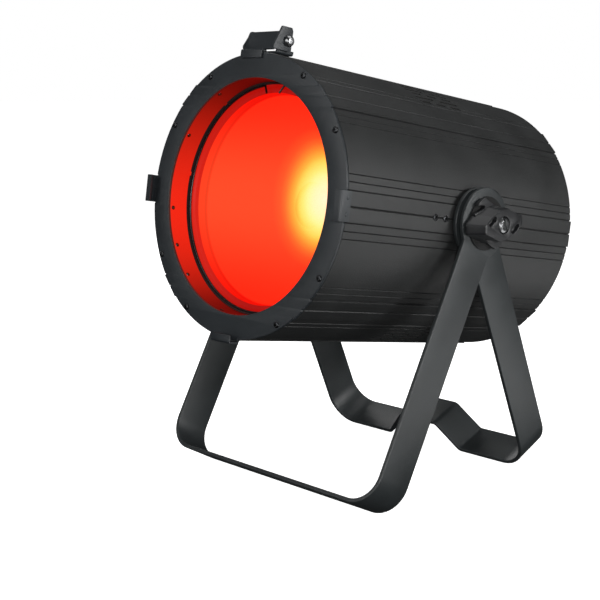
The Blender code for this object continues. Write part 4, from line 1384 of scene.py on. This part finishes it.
class PARCAN_OT_studio(bpy.types.Operator):
    """Pale floor, soft lights and the camera"""

    bl_idname = "parcan.studio"
    bl_label = "Studio"

    def execute(self, context):
        scene = context.scene
        studio = scene.par_can_studio
        scene.view_settings.view_transform = "Standard"
        self.room(scene, studio)
        self.ground(studio)
        for light in PANELS:
            self.light(*light)
        camera = bpy.data.objects.new("camera", bpy.data.cameras.new("camera"))
        camera.data.lens = studio.focal
        camera.data.sensor_width = 36
        camera.data.clip_start = 0.01
        camera.location = BARREL.translation + Vector(studio.eye)
        camera.rotation_euler = (studio.pitch, 0, studio.heading)
        scene.collection.objects.link(camera)
        scene.camera = camera
        return {"FINISHED"}

    def room(self, scene, studio):
        """Even light for the object, and a white backdrop behind it."""
        world = bpy.data.worlds.new("room")
        scene.world = world
        world.use_nodes = True
        nodes, links = world.node_tree.nodes, world.node_tree.links
        backdrop = nodes.new("ShaderNodeBackground")
        backdrop.inputs[0].default_value = (1, 1, 1, 1)
        backdrop.inputs[1].default_value = 1.0
        room = nodes["Background"]
        room.inputs[0].default_value = (0.93, 0.97, 1.0, 1)
        room.inputs[1].default_value = studio.room
        path = nodes.new("ShaderNodeLightPath")
        mix = nodes.new("ShaderNodeMixShader")
        links.new(path.outputs["Is Camera Ray"], mix.inputs[0])
        links.new(room.outputs[0], mix.inputs[1])
        links.new(backdrop.outputs[0], mix.inputs[2])
        links.new(mix.outputs[0], nodes["World Output"].inputs[0])

    def ground(self, studio):
        """A wide pale floor that takes soft shadows."""
        shape = bmesh.new()
        bmesh.ops.create_grid(shape, x_segments=8, y_segments=8, size=40)
        floor = bpy.data.objects.new("floor", finish_mesh(shape, "floor"))
        pale = Paint("pale floor").set(Base_Color=studio.floor, Roughness=1.0, Specular_IOR_Level=0.0,
                                       Emission_Color=(1, 1, 1), Emission_Strength=1.0)
        floor.data.materials.append(pale)
        floor.visible_diffuse = False
        floor.visible_glossy = False
        bpy.context.scene.collection.objects.link(floor)

    def light(self, name, place, target, size, power):
        """A soft panel light aimed at a point."""
        lamp = bpy.data.lights.new(name, "AREA")
        lamp.shape = "RECTANGLE"
        lamp.size, lamp.size_y = size
        lamp.energy = power
        panel = bpy.data.objects.new(name, lamp)
        panel.location = place
        panel.visible_camera = False
        panel.rotation_euler = (Vector(target) - Vector(place)).to_track_quat("-Z", "Y").to_euler()
        bpy.context.scene.collection.objects.link(panel)


# ---------------------------------------------------------------- add-on

class PARCAN_PT_panel(bpy.types.Panel):
    """Lists the steps that build the light"""

    bl_idname = "PARCAN_PT_panel"
    bl_label = "Par can light"
    bl_space_type = "VIEW_3D"
    bl_region_type = "UI"
    bl_category = "Par can"

    def draw(self, context):
        for group, settings in GROUPS.items():
            for name in settings.__annotations__:
                self.layout.prop(getattr(context.scene, group), name)
        for step in STEPS:
            self.layout.operator(step.bl_idname)


GROUPS = {"par_can_finish": ParCanFinish, "par_can_size": ParCanSize, "par_can_studio": ParCanStudio}
STEPS = (PARCAN_OT_barrel, PARCAN_OT_front_ring, PARCAN_OT_latch, PARCAN_OT_optics, PARCAN_OT_inside,
         PARCAN_OT_rear_panel, PARCAN_OT_yokes, PARCAN_OT_pivots, PARCAN_OT_knobs, PARCAN_OT_studio)


def register():
    """Make the settings, steps and panel known to Blender."""
    for part in (*GROUPS.values(), *STEPS, PARCAN_PT_panel):
        bpy.utils.register_class(part)
    for name, group in GROUPS.items():
        setattr(bpy.types.Scene, name, bpy.props.PointerProperty(type=group))


def unregister():
    """Take them away again."""
    for name in GROUPS:
        delattr(bpy.types.Scene, name)
    for part in (PARCAN_PT_panel, *reversed(STEPS), *reversed(GROUPS.values())):
        bpy.utils.unregister_class(part)


def main():
    """Build everything in order."""
    register()
    for step in STEPS:
        group, name = step.bl_idname.split(".")
        getattr(getattr(bpy.ops, group), name)()


if __name__ == "__main__":
    main()
